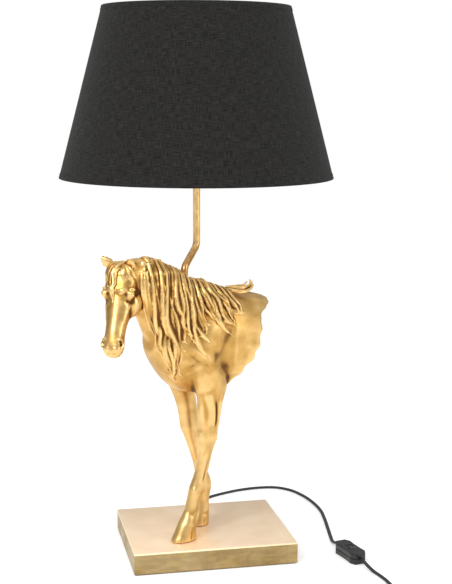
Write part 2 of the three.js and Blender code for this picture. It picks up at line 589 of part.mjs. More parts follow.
const upperShell = cut(joined([
  cut(slab(switchOutline(0), upperLow, SWITCH.upper, 0.8), [
    slab(switchOutline(SWITCH.wall), upperLow - SWITCH.wall, SWITCH.upper),
  ]),
  box(windowLength + 2 * wellWall, wellWidth, SWITCH.upper - 1, 0, 0, upperLow + (SWITCH.upper - 1) / 2),
  ...screwPlaces.map(([x, y]) => bar(2.6, upperLow, upperLow + SWITCH.upper - 1, x, y, 16)),
]), [
  box(windowLength, ROCKER.width + 2 * GAP, 40, 0, 0, upperLow),
  acrossBar(ROCKER.trunnion + 0.08, wellWidth - 0.6),
  ...screwPlaces.map(([x, y]) => bar(1.1, 0, upperLow + 5, x, y, 12)),
]);
piece('switch_upper', upperShell, blackPlastic, inline);
screwPlaces.forEach(([x, y], i) => piece(`switch_screw_${i + 1}`, turned([
  [0, 0.6], [1.2, 0.6], [1.2, 1.6], [0.8, 1.6], [0.8, upperLow + 4], [0, upperLow + 4],
], 10).translate(x, y, 0), steel, inline));
piece('switch_blade_1', box(5, 4, 3.4, 12, 0, SWITCH.wall + GAP + 1.7), brass, inline);
piece('switch_blade_2', box(5, 4, 3.4, -12, 0, SWITCH.wall + GAP + 1.7), brass, inline);

// The rocker's ends are arcs about its pivot, so it turns in its window without touching.
const rockerArc = [35, 18, 0, -18, -35].map(a => [
  ROCKER.radius * Math.cos(radians(a)), ROCKER.radius * Math.sin(radians(a))]);
const rockerSide = [[0, 3], ...rockerArc, [0, -5], ...rockerArc.map(([x, z]) => [-x, z]).reverse()];
const rocker = joined([
  slab(rockerSide, -ROCKER.width / 2, ROCKER.width).rotateX(Math.PI / 2).translate(0, 0, ROCKER.aboveFloor),
  acrossBar(ROCKER.trunnion, ROCKER.width + 2 * GAP + 2 * wellWall - 1.2),
]).translate(0, 0, -ROCKER.aboveFloor).rotateY(-radians(ROCKER.tilt)).translate(0, 0, ROCKER.aboveFloor);
piece('switch_rocker', rocker, blackPlastic, inline);

// ---- Tail, coil and plug -------------------------------------------------------------------------------------------------
const tailRoute = [
  [210.3, -113.41, 7.95], [211.7, -119.8, 7.6], [214.6, -132, 5], [218.4, -145.5, 2.3], [222.2, -160, cordZ],
  [224.8, -175, cordZ],
  [226, -192, cordZ], [226, -209, cordZ], [226, -225, cordZ],
];
piece('cord_tail', flatCord(tailRoute), blackVinyl);

const [coilIn, coilOut] = [COIL.radius - COIL.width / 2, COIL.radius + COIL.width / 2];
piece('cord_coil', turnedRing([
  [coilIn, 2], [coilIn + 2, CORD.clearance], [coilOut - 2, CORD.clearance], [coilOut, 2],
  [coilOut, COIL.height - 2], [coilOut - 2, COIL.height], [coilIn + 2, COIL.height], [coilIn, COIL.height - 2],
], 32).translate(COIL.x, COIL.y, 0), blackVinyl);

const plug = new THREE.Group();
plug.position.set(PLUG.x, PLUG.y, 0);
plug.rotation.z = radians(PLUG.heading);
lamp.add(plug);
const plugBody = slab([
  [0, -PLUG.neckWidth / 2], [PLUG.length * 0.55, -PLUG.width / 2], [PLUG.length, -PLUG.width / 2],
  [PLUG.length, PLUG.width / 2], [PLUG.length * 0.55, PLUG.width / 2], [0, PLUG.neckWidth / 2],
], CORD.clearance, PLUG.thickness, 1.5);
const plugMid = CORD.clearance + PLUG.thickness / 2;
const plugTail = turned([[0, 0], [4.6, 0], [3.2, 21], [0, 21]], 12).rotateY(-Math.PI / 2)
  .translate(1, 0, plugMid);
piece('plug_body', joined([plugBody, plugTail]), blackVinyl, plug);
[-1, 1].forEach((side, i) => piece(`plug_pin_${i + 1}`, turned([
  [0, 0], [PIN.radius, 0], [PIN.radius, PIN.length - 1.5], [PIN.radius - 1, PIN.length], [0, PIN.length],
], 12).rotateY(Math.PI / 2).translate(PLUG.length + GAP, side * PIN.spacing / 2, plugMid), brass, plug));

const endRoute = [
  [181, -288.6, 4.2], [174, -289.6, 3.6], [166, -289.6, 4.2], [158, -288.8, 5.8], [149.6, -287.6, 6.85],
];
piece('cord_end', flatCord(endRoute), blackVinyl);

export default lamp;
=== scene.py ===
"""A table lamp: a gilded casting of the front half of a horse on a leafed plinth, a bent pole, a tapered
linen shade, and a flat twin lead with an inline switch and a plug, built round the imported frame."""

import math
import random

import bmesh
import bpy
import numpy as np
from mathutils import Matrix, Vector
from mathutils.bvhtree import BVHTree


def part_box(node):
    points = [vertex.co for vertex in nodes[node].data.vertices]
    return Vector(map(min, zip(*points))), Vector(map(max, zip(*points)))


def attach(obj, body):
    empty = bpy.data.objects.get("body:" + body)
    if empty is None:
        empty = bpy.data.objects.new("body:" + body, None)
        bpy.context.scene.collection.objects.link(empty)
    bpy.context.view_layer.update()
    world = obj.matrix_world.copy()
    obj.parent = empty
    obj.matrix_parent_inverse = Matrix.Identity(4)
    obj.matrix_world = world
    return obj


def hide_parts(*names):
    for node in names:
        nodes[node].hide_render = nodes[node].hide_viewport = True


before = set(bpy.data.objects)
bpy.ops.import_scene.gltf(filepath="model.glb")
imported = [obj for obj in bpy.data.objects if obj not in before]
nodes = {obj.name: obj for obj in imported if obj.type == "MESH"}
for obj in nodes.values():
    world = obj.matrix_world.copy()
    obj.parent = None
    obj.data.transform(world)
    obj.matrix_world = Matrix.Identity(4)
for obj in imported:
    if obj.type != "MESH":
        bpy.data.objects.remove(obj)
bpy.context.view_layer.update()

# ---- Camera --------------------------------------------------------------------------------------------
# The lamp is seen from its front left, from a little above the middle of its height.
camera = bpy.data.objects.new("camera", bpy.data.cameras.new("camera"))
bpy.context.scene.collection.objects.link(camera)
camera.data.sensor_width = 36
camera.data.lens = 76.62
camera.matrix_world = (
    Matrix.Translation((-0.3172, -1.6772, 0.6576))
    @ Matrix.Rotation(math.radians(-12.084), 4, "Z")
    @ Matrix.Rotation(math.radians(90 - 9.507), 4, "X")
    @ Matrix.Rotation(math.radians(0.215), 4, "Z")
)
bpy.context.scene.camera = camera


# ---- Cord ----------------------------------------------------------------------------------------------
# A flat twin flex of black vinyl, 1.8 m long: two cores side by side with a shallow groove between them.
# It leaves the strain relief, runs through the inline switch, and the spare length is a coil by the plug.
CORD_WIDTH = 0.0052
CORD_THICKNESS = 0.0032
ON_FLOOR = 0.00185
LEAD_ROUTE = [
    (0.011, 0.1233, 0.0076), (0.011, 0.13, 0.0066), (0.0115, 0.139, 0.0038), (0.0135, 0.149, 0.0021),
    (0.018, 0.16, ON_FLOOR), (0.025, 0.173, ON_FLOOR), (0.036, 0.187, ON_FLOOR), (0.057, 0.202, ON_FLOOR),
    (0.084, 0.217, ON_FLOOR), (0.116, 0.229, ON_FLOOR), (0.148, 0.234, ON_FLOOR), (0.175, 0.23, ON_FLOOR),
    (0.195, 0.213, ON_FLOOR), (0.207, 0.187, ON_FLOOR), (0.215, 0.15, ON_FLOOR), (0.217, 0.108, ON_FLOOR),
    (0.212, 0.068, ON_FLOOR), (0.2055, 0.03, ON_FLOOR), (0.1995, -0.004, ON_FLOOR), (0.196, -0.025, 0.0026),
    (0.1953, -0.038, 0.0054), (0.1963, -0.0502, 0.0076), (0.1977, -0.05659, 0.00795),
]
IN_SWITCH = [(0.2002, -0.068, 0.0052), (0.204, -0.085, 0.0042), (0.2078, -0.102, 0.0052)]
TAIL_ROUTE = [
    (0.2103, -0.11341, 0.00795), (0.2117, -0.1198, 0.0076), (0.2146, -0.132, 0.005),
    (0.2184, -0.1455, 0.0023), (0.2222, -0.16, ON_FLOOR), (0.2248, -0.175, ON_FLOOR),
    (0.226, -0.192, ON_FLOOR), (0.226, -0.209, ON_FLOOR), (0.226, -0.225, ON_FLOOR),
]
COIL_CENTRE = (0.1975, -0.252)
COIL_STEPS = [
    (0, 0.0285, ON_FLOOR), (0.25, 0.0289, ON_FLOOR), (1.0, 0.0289, ON_FLOOR), (1.25, 0.0341, ON_FLOOR),
    (2.1, 0.0341, ON_FLOOR), (2.4, 0.0315, 0.0054), (3.2, 0.0315, 0.0054), (3.45, 0.0262, 0.0056),
    (4.2, 0.0262, 0.0056), (4.5, 0.0305, 0.0089), (5.05, 0.0347, 0.0089), (5.25, 0.0368, 0.0066),
]
END_ROUTE = [
    (0.181, -0.2886, 0.0042), (0.174, -0.2896, 0.0036), (0.166, -0.2896, 0.0042),
    (0.158, -0.2888, 0.0058), (0.1496, -0.2876, 0.00685),
]


def coil_points():
    """The coil is wound clockwise from its east side: each step is turns made, radius and height."""
    points = []
    turn_points = 16
    for (made, near, low), (after, far, high) in zip(COIL_STEPS, COIL_STEPS[1:]):
        count = max(1, round((after - made) * turn_points))
        for i in range(count):
            share = i / count
            eased = share * share * (3 - 2 * share)
            angle = -2 * math.pi * (made + (after - made) * share)
            radius = near + (far - near) * eased
            points.append((COIL_CENTRE[0] + radius * math.cos(angle),
                           COIL_CENTRE[1] + radius * math.sin(angle), low + (high - low) * eased))
    return points


def smooth_line(points, step):
    """A centripetal curve through the points, as points a step apart."""
    knots = [Vector(p) for p in points]
    knots = [2 * knots[0] - knots[1]] + knots + [2 * knots[-1] - knots[-2]]
    fine = []
    for a, b, c, d in zip(knots, knots[1:], knots[2:], knots[3:]):
        t1 = (b - a).length ** 0.5
        t2 = t1 + (c - b).length ** 0.5
        t3 = t2 + (d - c).length ** 0.5
        count = max(2, math.ceil((c - b).length / (step * 0.25)))
        for i in range(count):
            t = t1 + (t2 - t1) * i / count
            ab = a.lerp(b, t / t1)
            bc = b.lerp(c, (t - t1) / (t2 - t1))
            cd = c.lerp(d, (t - t2) / (t3 - t2))
            fine.append(ab.lerp(bc, t / t2).lerp(bc.lerp(cd, (t - t1) / (t3 - t1)), (t - t1) / (t2 - t1)))
    fine.append(knots[-2])
    line = [fine[0]]
    for point in fine[1:]:
        if (point - line[-1]).length >= step:
            line.append(point)
    return line + [fine[-1]] if (fine[-1] - line[-1]).length > 0.3 * step else line


def frames_along(line, flat=True):
    """A matrix for each point of a line, with its Z along the line. On a flat line its Y stays upright, and on
    a steep one it turns as little as it can."""
    turns = []
    upright = Vector((0, 0, 1)) if flat else Vector((0.36, 0.93, 0)).normalized()
    for i, point in enumerate(line):
        ahead = (line[min(i + 1, len(line) - 1)] - line[max(i - 1, 0)]).normalized()
        across = upright.cross(ahead).normalized()
        above = ahead.cross(across)
        turns.append(Matrix.Translation(point) @ Matrix((across, above, ahead)).transposed().to_4x4())
    return turns


def sweep(form, outline, places):
    """Extrudes an outline of points through a list of matrices, and closes both ends."""
    first = [form.verts.new(places[0] @ Vector((x, y, 0))) for x, y in outline]
    ring = [form.edges.new((a, b)) for a, b in zip(first, first[1:] + first[:1])]
    form.faces.new(list(reversed(first)))
    for before, after in zip(places, places[1:]):
        made = bmesh.ops.extrude_edge_only(form, edges=ring)["geom"]
        ring = [e for e in made if isinstance(e, bmesh.types.BMEdge)]
        moved = [v for v in made if isinstance(v, bmesh.types.BMVert)]
        bmesh.ops.transform(form, matrix=after @ before.inverted(), verts=moved)
    bmesh.ops.contextual_create(form, geom=ring)
    bmesh.ops.recalc_face_normals(form, faces=form.faces)


def made_piece(name, form, paint, crease=40):
    """Turns a bmesh into an object with one material, smooth where faces meet at less than the crease."""
    mesh = bpy.data.meshes.new(name)
    form.to_mesh(mesh)
    form.free()
    mesh.shade_smooth()
    mesh.set_sharp_from_angle(angle=math.radians(crease))
    mesh.materials.append(paint)
    piece = bpy.data.objects.new(name, mesh)
    bpy.context.scene.collection.objects.link(piece)
    return piece


class Wire:
    """A socket in a node tree; signs between wires and numbers add Math nodes."""

    def __init__(self, tree, socket):
        self.tree = tree
        self.socket = socket

    def node(self, kind, settings, sockets, output=0):
        """Adds a node, with its settings and the values or wires of its sockets."""
        made = self.tree.nodes.new(kind)
        for name, setting in settings.items():
            setattr(made, name, setting)
        for name, value in sockets.items():
            if isinstance(value, Wire):
                self.tree.links.new(value.socket, made.inputs[name])
            else:
                made.inputs[name].default_value = value
        return Wire(self.tree, made.outputs[output])

    def math(self, operation, *values):
        return self.node("ShaderNodeMath", {"operation": operation}, dict(enumerate(values)))

    def __add__(self, other):
        return self.math("ADD", self, other)

    def __radd__(self, other):
        return self.math("ADD", other, self)

    def __sub__(self, other):
        return self.math("SUBTRACT", self, other)

    def __rsub__(self, other):
        return self.math("SUBTRACT", other, self)

    def __mul__(self, other):
        return self.math("MULTIPLY", self, other)

    def __rmul__(self, other):
        return self.math("MULTIPLY", other, self)

    def span(self, low, high):
        """0 below low, 1 above high, and eased between."""
        return self.node("ShaderNodeMapRange", {"interpolation_type": "SMOOTHSTEP"},
                         {"Value": self, "From Min": low, "From Max": high})

    def noise(self, scale, detail=2, stretch=(1, 1, 1)):
        place = self.node("ShaderNodeMapping", {}, {"Vector": self, "Scale": stretch})
        return self.node("ShaderNodeTexNoise", {}, {"Vector": place, "Scale": scale, "Detail": detail})

    def tint(self, low, high):
        """A colour between two, by this wire as the factor."""
        low, high = [c if isinstance(c, Wire) else (*c, 1) for c in (low, high)]
        return self.node("ShaderNodeMix", {"data_type": "RGBA"}, {0: self, 6: low, 7: high}, 2)

    def bump(self, strength, distance):
        return self.node("ShaderNodeBump", {}, {"Height": self, "Strength": strength, "Distance": distance})


def new_paint(name, coordinates="Object"):
    """A new material and the wire of its coordinates, Object or UV."""
    paint = bpy.data.materials.new(name)
    paint.use_nodes = True
    tree = paint.node_tree
    source = tree.nodes.new("ShaderNodeTexCoord")
    return paint, Wire(tree, source.outputs[coordinates])


def coat(paint, **sockets):
    """Sets sockets of the paint's shader, with _ in their names for each space."""
    shader = paint.node_tree.nodes["Principled BSDF"]
    for name, value in sockets.items():
        socket = shader.inputs[name.replace("_", " ")]
        if isinstance(value, Wire):
            paint.node_tree.links.new(value.socket, socket)
        else:
            socket.default_value = (*value, 1) if isinstance(value, tuple) and len(value) == 3 else value


def vinyl(name, colour, roughness):
    """Soft vinyl: faintly uneven, with a fine matt grain and a dusting of lighter scuffs."""
    paint, place = new_paint(name)
    scuff = place.noise(260, 5).span(0.52, 0.8)
    coat(paint, Base_Color=scuff.tint(colour, tuple(2.1 * c for c in colour)),
         Roughness=roughness + 0.14 * place.noise(900, 3), IOR=1.5,
         Normal=place.noise(2600, 2).bump(0.12, 0.0002))
    return paint


def twin_outline(width, thickness, points=9):
    """Half circles round the two cores, joined by a shallow waist."""
    radius = thickness / 2
    offset = width / 2 - radius
    right = [(offset + radius * math.cos(a), radius * math.sin(a))
             for a in (math.radians(-68 + 136 * i / (points - 1)) for i in range(points))]
    waist = [(0, radius * 0.72)]
    return right + waist + [(-x, y) for x, y in reversed(right)] + [(0, -radius * 0.72)]


cord_line = smooth_line(LEAD_ROUTE + IN_SWITCH + TAIL_ROUTE + coil_points() + END_ROUTE, 0.0022)
cord_form = bmesh.new()
sweep(cord_form, twin_outline(CORD_WIDTH, CORD_THICKNESS), frames_along(cord_line))
black_vinyl = vinyl("black_vinyl", (0.012, 0.0125, 0.0135), 0.38)
cord = made_piece("mains_cord", cord_form, black_vinyl, 70)
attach(cord, "lamp")
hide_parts("cord_lead", "cord_tail", "cord_coil", "cord_end")


# ---- Switch, strain relief and plug --------------------------------------------------------------------
# The inline switch is two black shells screwed together round a rocker; the strain relief is a ribbed taper
# moulded on the flex; the plug is a flat moulded one with two round pins.
def refined(name, node, paint, width=0.0004, segments=2):
    """A welded copy of a CAD node's mesh with softened edges."""
    form = bmesh.new()
    form.from_mesh(nodes[node].data)
    bmesh.ops.remove_doubles(form, verts=form.verts, dist=1e-6)
    bmesh.ops.dissolve_limit(form, angle_limit=math.radians(1), verts=form.verts, edges=form.edges)
    corners = [e for e in form.edges if e.is_manifold and e.calc_face_angle() > math.radians(25)]
    if width:
        bmesh.ops.bevel(form, geom=corners, offset=width, segments=segments, affect="EDGES", profile=0.5,
                        material=-1, clamp_overlap=True)
    return made_piece(name, form, paint, 35)


def lathe(name, profile, paint, steps=64, closed=False, crease=40):
    """A profile of radius and height turned round the lamp's axis."""
    form = bmesh.new()
    verts = [form.verts.new((r, 0, z)) for r, z in profile]
    pairs = list(zip(verts, verts[1:])) + ([(verts[-1], verts[0])] if closed else [])
    edges = [form.edges.new(pair) for pair in pairs]
    bmesh.ops.spin(form, geom=verts + edges, axis=(0, 0, 1), cent=(0, 0, 0), dvec=(0, 0, 0),
                   angle=2 * math.pi, steps=steps, use_merge=True)
    bmesh.ops.remove_doubles(form, verts=form.verts, dist=1e-6)
    bmesh.ops.recalc_face_normals(form, faces=form.faces)
    return made_piece(name, form, paint, crease)


def plastic(name, colour, roughness):
    paint, place = new_paint(name)
    grain = place.noise(1100, 3)
    wear = place.noise(180, 5).span(0.6, 0.85)
    coat(paint, Base_Color=wear.tint(colour, tuple(1.6 * c + 0.006 for c in colour)),
         Roughness=roughness + 0.12 * place.noise(60, 3), Normal=grain.bump(0.1, 0.0002))
    return paint


black_plastic = plastic("black_plastic", (0.006, 0.006, 0.0065), 0.3)
upper = refined("switch_top_shell", "switch_upper", black_plastic, 0.0003)
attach(upper, "lamp")
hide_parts("switch_upper")

relief_low, relief_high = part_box("strain_relief")
relief_profile = [(0, -0.009), (0.0048, -0.009), (0.0052, -0.0086), (0.0052, 0.001), (0.0046, 0.0022)]
RIBS = 9
RIB_SPACING = 0.0028
for i in range(RIBS):
    start = 0.004 + RIB_SPACING * i
    radius = 0.0046 - 0.00014 * i
    relief_profile += [(radius, start), (radius, start + 0.0016), (radius - 0.0008, start + 0.0019),
                       (radius - 0.0008, start + 0.0026)]
relief_profile += [(0.0033, 0.0293), (0.0031, 0.03), (0, 0.03)]
relief = lathe("ribbed_relief", relief_profile, black_vinyl, 32)
relief_start = ((relief_low.x + relief_high.x) / 2, relief_high.y - 0.03, (relief_low.z + relief_high.z) / 2)
relief.data.transform(Matrix.Translation(relief_start) @ Matrix.Rotation(-math.pi / 2, 4, "X"))
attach(relief, "lamp")
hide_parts("strain_relief")

plug = refined("moulded_plug", "plug_body", black_vinyl, 0.0008, 3)
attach(plug, "lamp")
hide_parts("plug_body")


# ---- Horse: the body -----------------------------------------------------------------------------------
# A hollow resin casting of the front half of a horse, torn off behind the shoulder. It stands on the plinth
# on its own two hooves. Sizes are millimetres in its own frame: forward, left, and up from the plinth's top.
HORSE_VOXEL = 0.0014
HORSE_FACES = 170000
plinth_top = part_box("base_block")[1].z
horse_frame = Matrix.Translation((-0.022, -0.027, plinth_top)) @ Matrix.Rotation(math.radians(205), 4, "Z")


def horse_point(u, v, w):
    return horse_frame @ (Vector((u, v, w)) * 0.001)


POLL = Vector((97.5, -1.5, 389))
HEAD_TURN = math.radians(39)
HEAD_LEAN = math.radians(23.5)
head_facing = Vector((math.cos(HEAD_TURN), math.sin(HEAD_TURN), 0))
head_side = Vector((-head_facing.y, head_facing.x, 0))
head_down = head_facing * math.sin(HEAD_LEAN) - Vector((0, 0, math.cos(HEAD_LEAN)))
head_front = -head_side.cross(head_down)


def on_head(down, side, front):
    """A point of the head: from the poll towards the muzzle, to the horse's left, and out of its face."""
    return horse_point(*(POLL + head_down * down + head_side * side + head_front * front))


def with_modifier(mesh, kind, shares=None, **settings):
    """The mesh with one modifier applied; shares says how much of it each point takes."""
    block = bpy.data.objects.new("block", mesh)
    bpy.context.scene.collection.objects.link(block)
    modifier = block.modifiers.new("shape", kind)
    for name, value in settings.items():
        setattr(modifier, name, value)
    if shares is not None:
        group = block.vertex_groups.new(name="shares")
        modifier.vertex_group = "shares"
        for step in range(1, 6):
            group.add(np.nonzero(np.round(shares * 5) == step)[0].tolist(), step / 5, "REPLACE")
    shaped = bpy.data.meshes.new_from_object(block.evaluated_get(bpy.context.evaluated_depsgraph_get()))
    bpy.data.objects.remove(block)
    return shaped


def one_skin(source, voxel, smoothing, lumps=()):
    """Closed forms that overlap, and round lumps pressed on them, as one even skin, smoothed."""
    welded = bmesh.new()
    welded.from_mesh(source)
    bmesh.ops.remove_doubles(welded, verts=welded.verts, dist=1e-6)
    for lump in lumps:
        bmesh.ops.create_icosphere(welded, subdivisions=4, radius=1, matrix=lump)
    mesh = bpy.data.meshes.new("skin")
    welded.to_mesh(mesh)
    welded.free()
    skin = with_modifier(mesh, "REMESH", mode="VOXEL", voxel_size=voxel)
    return with_modifier(skin, "SMOOTH", factor=0.5, iterations=smoothing)


def rows_of(items, what):
    """A three-number value of every point or normal of a mesh, a row each."""
    values = np.empty(len(items) * 3, np.float32)
    items.foreach_get(what, values)
    return values.reshape(-1, 3).astype(np.float64)


def stroke(mesh, path, radius, height):
    """Pushes the skin out, or in where height is negative, along a smooth path of points; in millimetres."""
    places = np.array([tuple(p) for p in (smooth_line(path, 0.001) if len(path) > 1 else path)])
    along = np.linspace(0, 1, len(places))
    fade = np.minimum(1, np.minimum(along, 1 - along) * 5 + 0.25) if len(path) > 1 else np.ones(1)
    points = rows_of(mesh.vertices, "co")
    reach = radius * 0.001
    near = np.all((points > places.min(0) - reach) & (points < places.max(0) + reach), axis=1)
    index = np.nonzero(near)[0]
    if not len(index):
        return
    gaps = np.linalg.norm(points[index][:, None, :] - places[None], axis=2)
    nearest = gaps.argmin(1)
    gap = gaps[np.arange(len(index)), nearest] / reach
    weight = np.clip(1 - gap ** 2, 0, 1) ** 2 * fade[nearest]
    points[index] += rows_of(mesh.vertex_normals, "vector")[index] * (weight * height * 0.001)[:, None]
    mesh.vertices.foreach_set("co", points.astype(np.float32).ravel())
    mesh.update()


# The round cheeks: how far to the left each one's middle is, and its half width.
cheeks = []
for out, half in ((10, 17), (-8, 13)):
    axes = Matrix((head_down, head_side, head_front)).transposed().to_4x4()
    cheeks.append(Matrix.Translation(on_head(44, out, -14)) @ horse_frame.to_3x3().to_4x4() @ axes
                  @ Matrix.Diagonal((0.021, half * 0.001, 0.017, 1)))
horse_mesh = one_skin(nodes["horse_figure"].data, HORSE_VOXEL, 12, cheeks)

# The trunk and the tops of the legs run into each other with no edge between them.
points = rows_of(horse_mesh.vertices, "co")
local = (np.c_[points, np.ones(len(points))] @ np.array(horse_frame.inverted()).T)[:, :3] * 1000
plain = np.clip((local[:, 2] - 165) / 30, 0, 1) * np.clip((74 - local[:, 0]) / 14, 0, 1)
plain *= np.clip((local[:, 0] + local[:, 2] * 0.55 - 78) / 14, 0, 1)
horse_mesh = with_modifier(horse_mesh, "SMOOTH", plain, factor=0.5, iterations=90)

# The trunk and legs: shoulder and forearm muscles, elbow, breast, knees, tendons, pasterns and hooves.
BODY_STROKES = [
    ([(8, 46, 258), (-14, 48, 290), (-34, 46, 320)], 26, 3.6),
    ([(18, 38, 250), (6, 44, 226), (-6, 44, 208)], 22, 2),
    ([(-46, 50, 318), (-40, 50, 286), (-38, 46, 250), (-36, 46, 232)], 16, -1.3),
    ([(38, 24, 244), (30, 30, 226), (14, 34, 212)], 15, 1.4),
    ([(-8, 44, 212), (-16, 42, 186), (-19, 39, 160)], 9, 2),
    ([(-30, 40, 200), (-31, 38, 176), (-29, 36, 158)], 8, 1.7),
    ([(-21, 41, 198), (-25, 39, 176), (-25, 38, 160)], 4, -1.5),
    ([(-5, 34, 196), (-9, 32, 168)], 5, 1.4),
    ([(-2, 33, 156), (-3, 33, 143)], 8, 1.4),
    ([(-26, 34, 148), (-28, 33, 140)], 5, 1.6),
    ([(-22, 37, 127), (-16, 33, 104), (-10, 30.5, 82)], 3.2, -1.5),
    ([(-15, 35, 127), (-10, 31, 104), (-5, 29, 82)], 3.4, 0.8),
    ([(-26, 30, 120), (-21, 27, 100), (-16, 25, 82)], 3, 1.0),
    ([(-12, 28, 70), (-15, 23, 68)], 6, 1.6),
    ([(22, 20, 42), (16, 31, 40), (4, 33, 38)], 7, -1.6),
    ([(6, 28, 70), (4, 30, 73)], 6, 0.9),
    ([(27, 20, 29), (22, 31, 26), (12, 34, 24), (2, 32, 22)], 3, 1.3),
    ([(31, 22, 23), (23, 33, 20), (11, 34.5, 18), (-2, 31, 17)], 2.4, -1.3),
    ([(10, 33, 16), (12, 34, 2)], 2.2, -0.9),
    ([(24, 32, 20), (30, 30, 2)], 2.5, 0.3),
    ([(-5, -13, 159), (-6, -13, 146)], 9, 2.2),
    ([(-8, -13, 133), (-11, -13, 122)], 7, -0.9),
    ([(-36, -15, 128), (-42, -13, 104), (-47, -12, 84)], 3, -1.2),
    ([(-30, -15, 128), (-34, -14, 104), (-38, -13, 84)], 3, 0.8),
    ([(-32, -18, 19), (-40, -8, 18.5), (-48, -10, 19)], 2.2, -0.7),
    ([(-40, -7, 16), (-39, -6, 2)], 2.2, -0.8),
]
for path, radius, height in BODY_STROKES:
    stroke(horse_mesh, [horse_point(*p) for p in path], radius, height)

# The head, the same on both sides: brow, eye, lids, cheek, facial crest, nose, nostril, lips and chin.
HEAD_STROKES = [
    ([(33, 6, 14), (39, 10, 14)], 9, 3.4),
    ([(22, 12, 12), (27, 17, 9)], 8, -1.0),
    ([(31, 17, 9), (33, 20, 5)], 5, 1.2),
    ([(48, 12, 12), (50, 18, 6), (46, 22, -1)], 5, -1.3),
    ([(37, 13, 14), (33, 17, 12), (32, 21, 6), (36, 23, 0)], 2.2, 2.2),
    ([(38, 12.5, 13), (44, 14, 12)], 2.6, -0.8),
    ([(43, 14, 13), (46.5, 18, 9), (45, 22, 3), (40, 24, -1)], 2, 1.9),
    ([(39.5, 19, 9)], 4.2, 1.4),
    ([(36, 17.5, 12), (37, 21, 8), (39, 23, 3)], 1.3, -1.4),
    ([(51, 20, 3), (62, 16.5, 4), (76, 13, 5)], 3.8, 0.9),
    ([(28, 22, -16), (42, 22, -26), (54, 19, -26), (60, 16, -18)], 11, 1.6),
    ([(30, 22, -3), (46, 20, -9), (60, 16, -9)], 5.5, -1.5),
    ([(62, 13, -20), (54, 15, -33), (40, 17, -38)], 3, 1.2),
    ([(54, 12, 10), (70, 10.5, 10), (88, 9.5, 9)], 5, -0.5),
    ([(97, 10, 9), (104, 13.5, 5), (110, 13, -1)], 6, 1.5),
    ([(102, 10.5, 11), (99.5, 13, 8), (103, 15, 5), (110, 14, 4)], 2.2, 1.6),
    ([(103.5, 10, 10.5), (102, 12.5, 8), (105, 13.4, 6.5), (109.5, 12, 6.5)], 2.4, -4.6),
    ([(118, 3, 6), (117, 8, 2), (113, 11.5, -5), (106, 14, -10), (98, 13, -12)], 1.7, -2.4),
    ([(110, 6, 9), (116, 6, 5)], 5, 0.9),
    ([(119, 4, -8), (116, 8, -12)], 6, 1.2),
]
for path, radius, height in HEAD_STROKES:
    for hand in (1, -1):
        stroke(horse_mesh, [on_head(a, hand * s, f) for a, s, f in path], radius, height)
stroke(horse_mesh, [on_head(34, 0, 14), on_head(64, 0, 13), on_head(100, 0, 12)], 8, 0.8)
stroke(horse_mesh, [on_head(8, 0, 10), on_head(16, 0, 13)], 9, 1.5)


def hollows(mesh, spread):
    """How far each point lies below (above 0) or above (below 0) the skin round it, about -1 to 1."""
    points = rows_of(mesh.vertices, "co")
    edges = np.empty(len(mesh.edges) * 2, np.int64)
    mesh.edges.foreach_get("vertices", edges)
    a, b = edges.reshape(-1, 2).T
    ends, others = np.concatenate([a, b]), np.concatenate([b, a])
    share = np.maximum(np.bincount(ends, minlength=len(points)), 1)[:, None]

    def averaged(values):
        return np.stack([np.bincount(ends, values[others, k], len(points))
                         for k in range(values.shape[1])], 1) / share

    blurred = points
    for _ in range(spread):
        blurred = averaged(blurred)
    depth = ((blurred - points) * rows_of(mesh.vertex_normals, "vector")).sum(1)[:, None]
    for _ in range(2):
        depth = averaged(depth)
    return np.tanh(depth[:, 0] / (0.00013 * math.sqrt(spread)))


def gold_leaf(name):
    """Gold leaf over red-brown size, rubbed bright on the high places and left brown in the hollows. The brown
    in the hollows is partly painted shade, and the bright high places are partly a painted highlight.
    """
    paint, place = new_paint(name)
    hollow = place.node("ShaderNodeAttribute", {"attribute_name": "hollow"}, {}, 2)
    cloud = place.noise(38, 4)
    # Painted shade: the leaf turns dark brown in the hollows, partly the real brown size and partly shade.
    brown_and_painted_shade = (hollow * 1.2 + cloud * 0.5 - 0.22).span(0.0, 0.75)
    # Painted highlight: the high places are painted a brighter gold, partly rubbed leaf and partly highlight.
    rubbed_and_painted_highlight = (cloud * 0.5 - hollow * 0.8).span(0.35, 1.0)
    gold = cloud.span(0.35, 0.7).tint((0.49, 0.27, 0.068), (0.64, 0.38, 0.115))
    bright = rubbed_and_painted_highlight.tint(gold, (0.86, 0.59, 0.25))
    grain = place.noise(150, 3) * 0.7 + place.noise(420, 4) * 0.3
    coat(paint, Base_Color=brown_and_painted_shade.tint(bright, (0.13, 0.045, 0.006)), Metallic=1.0 - 0.25 * brown_and_painted_shade,
         Roughness=0.33 + 0.12 * place.noise(90, 3) + 0.2 * brown_and_painted_shade,
         Normal=grain.bump(0.22, 0.0006))
    return paint


horse_gold = gold_leaf("gold_leaf")


def leafed_piece(name, mesh, most_faces, fine, broad, share):
    """A piece of the casting, marked with how hollow each point is: by its small surroundings, and a share by
    its wider ones."""
    cast = with_modifier(mesh, "DECIMATE", ratio=min(1, most_faces / (2 * len(mesh.polygons))))
    hollow = np.tanh(0.9 * hollows(cast, fine) + share * hollows(cast, broad))
    cast.attributes.new("hollow", "FLOAT", "POINT").data.foreach_set("value", hollow.astype(np.float32))
    cast.shade_smooth()
    cast.materials.clear()
    cast.materials.append(horse_gold)
    piece = bpy.data.objects.new(name, cast)
    bpy.context.scene.collection.objects.link(piece)
    return piece


horse = leafed_piece("horse_casting", horse_mesh, HORSE_FACES, 7, 40, 0.3)
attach(horse, "lamp")
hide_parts("horse_figure")

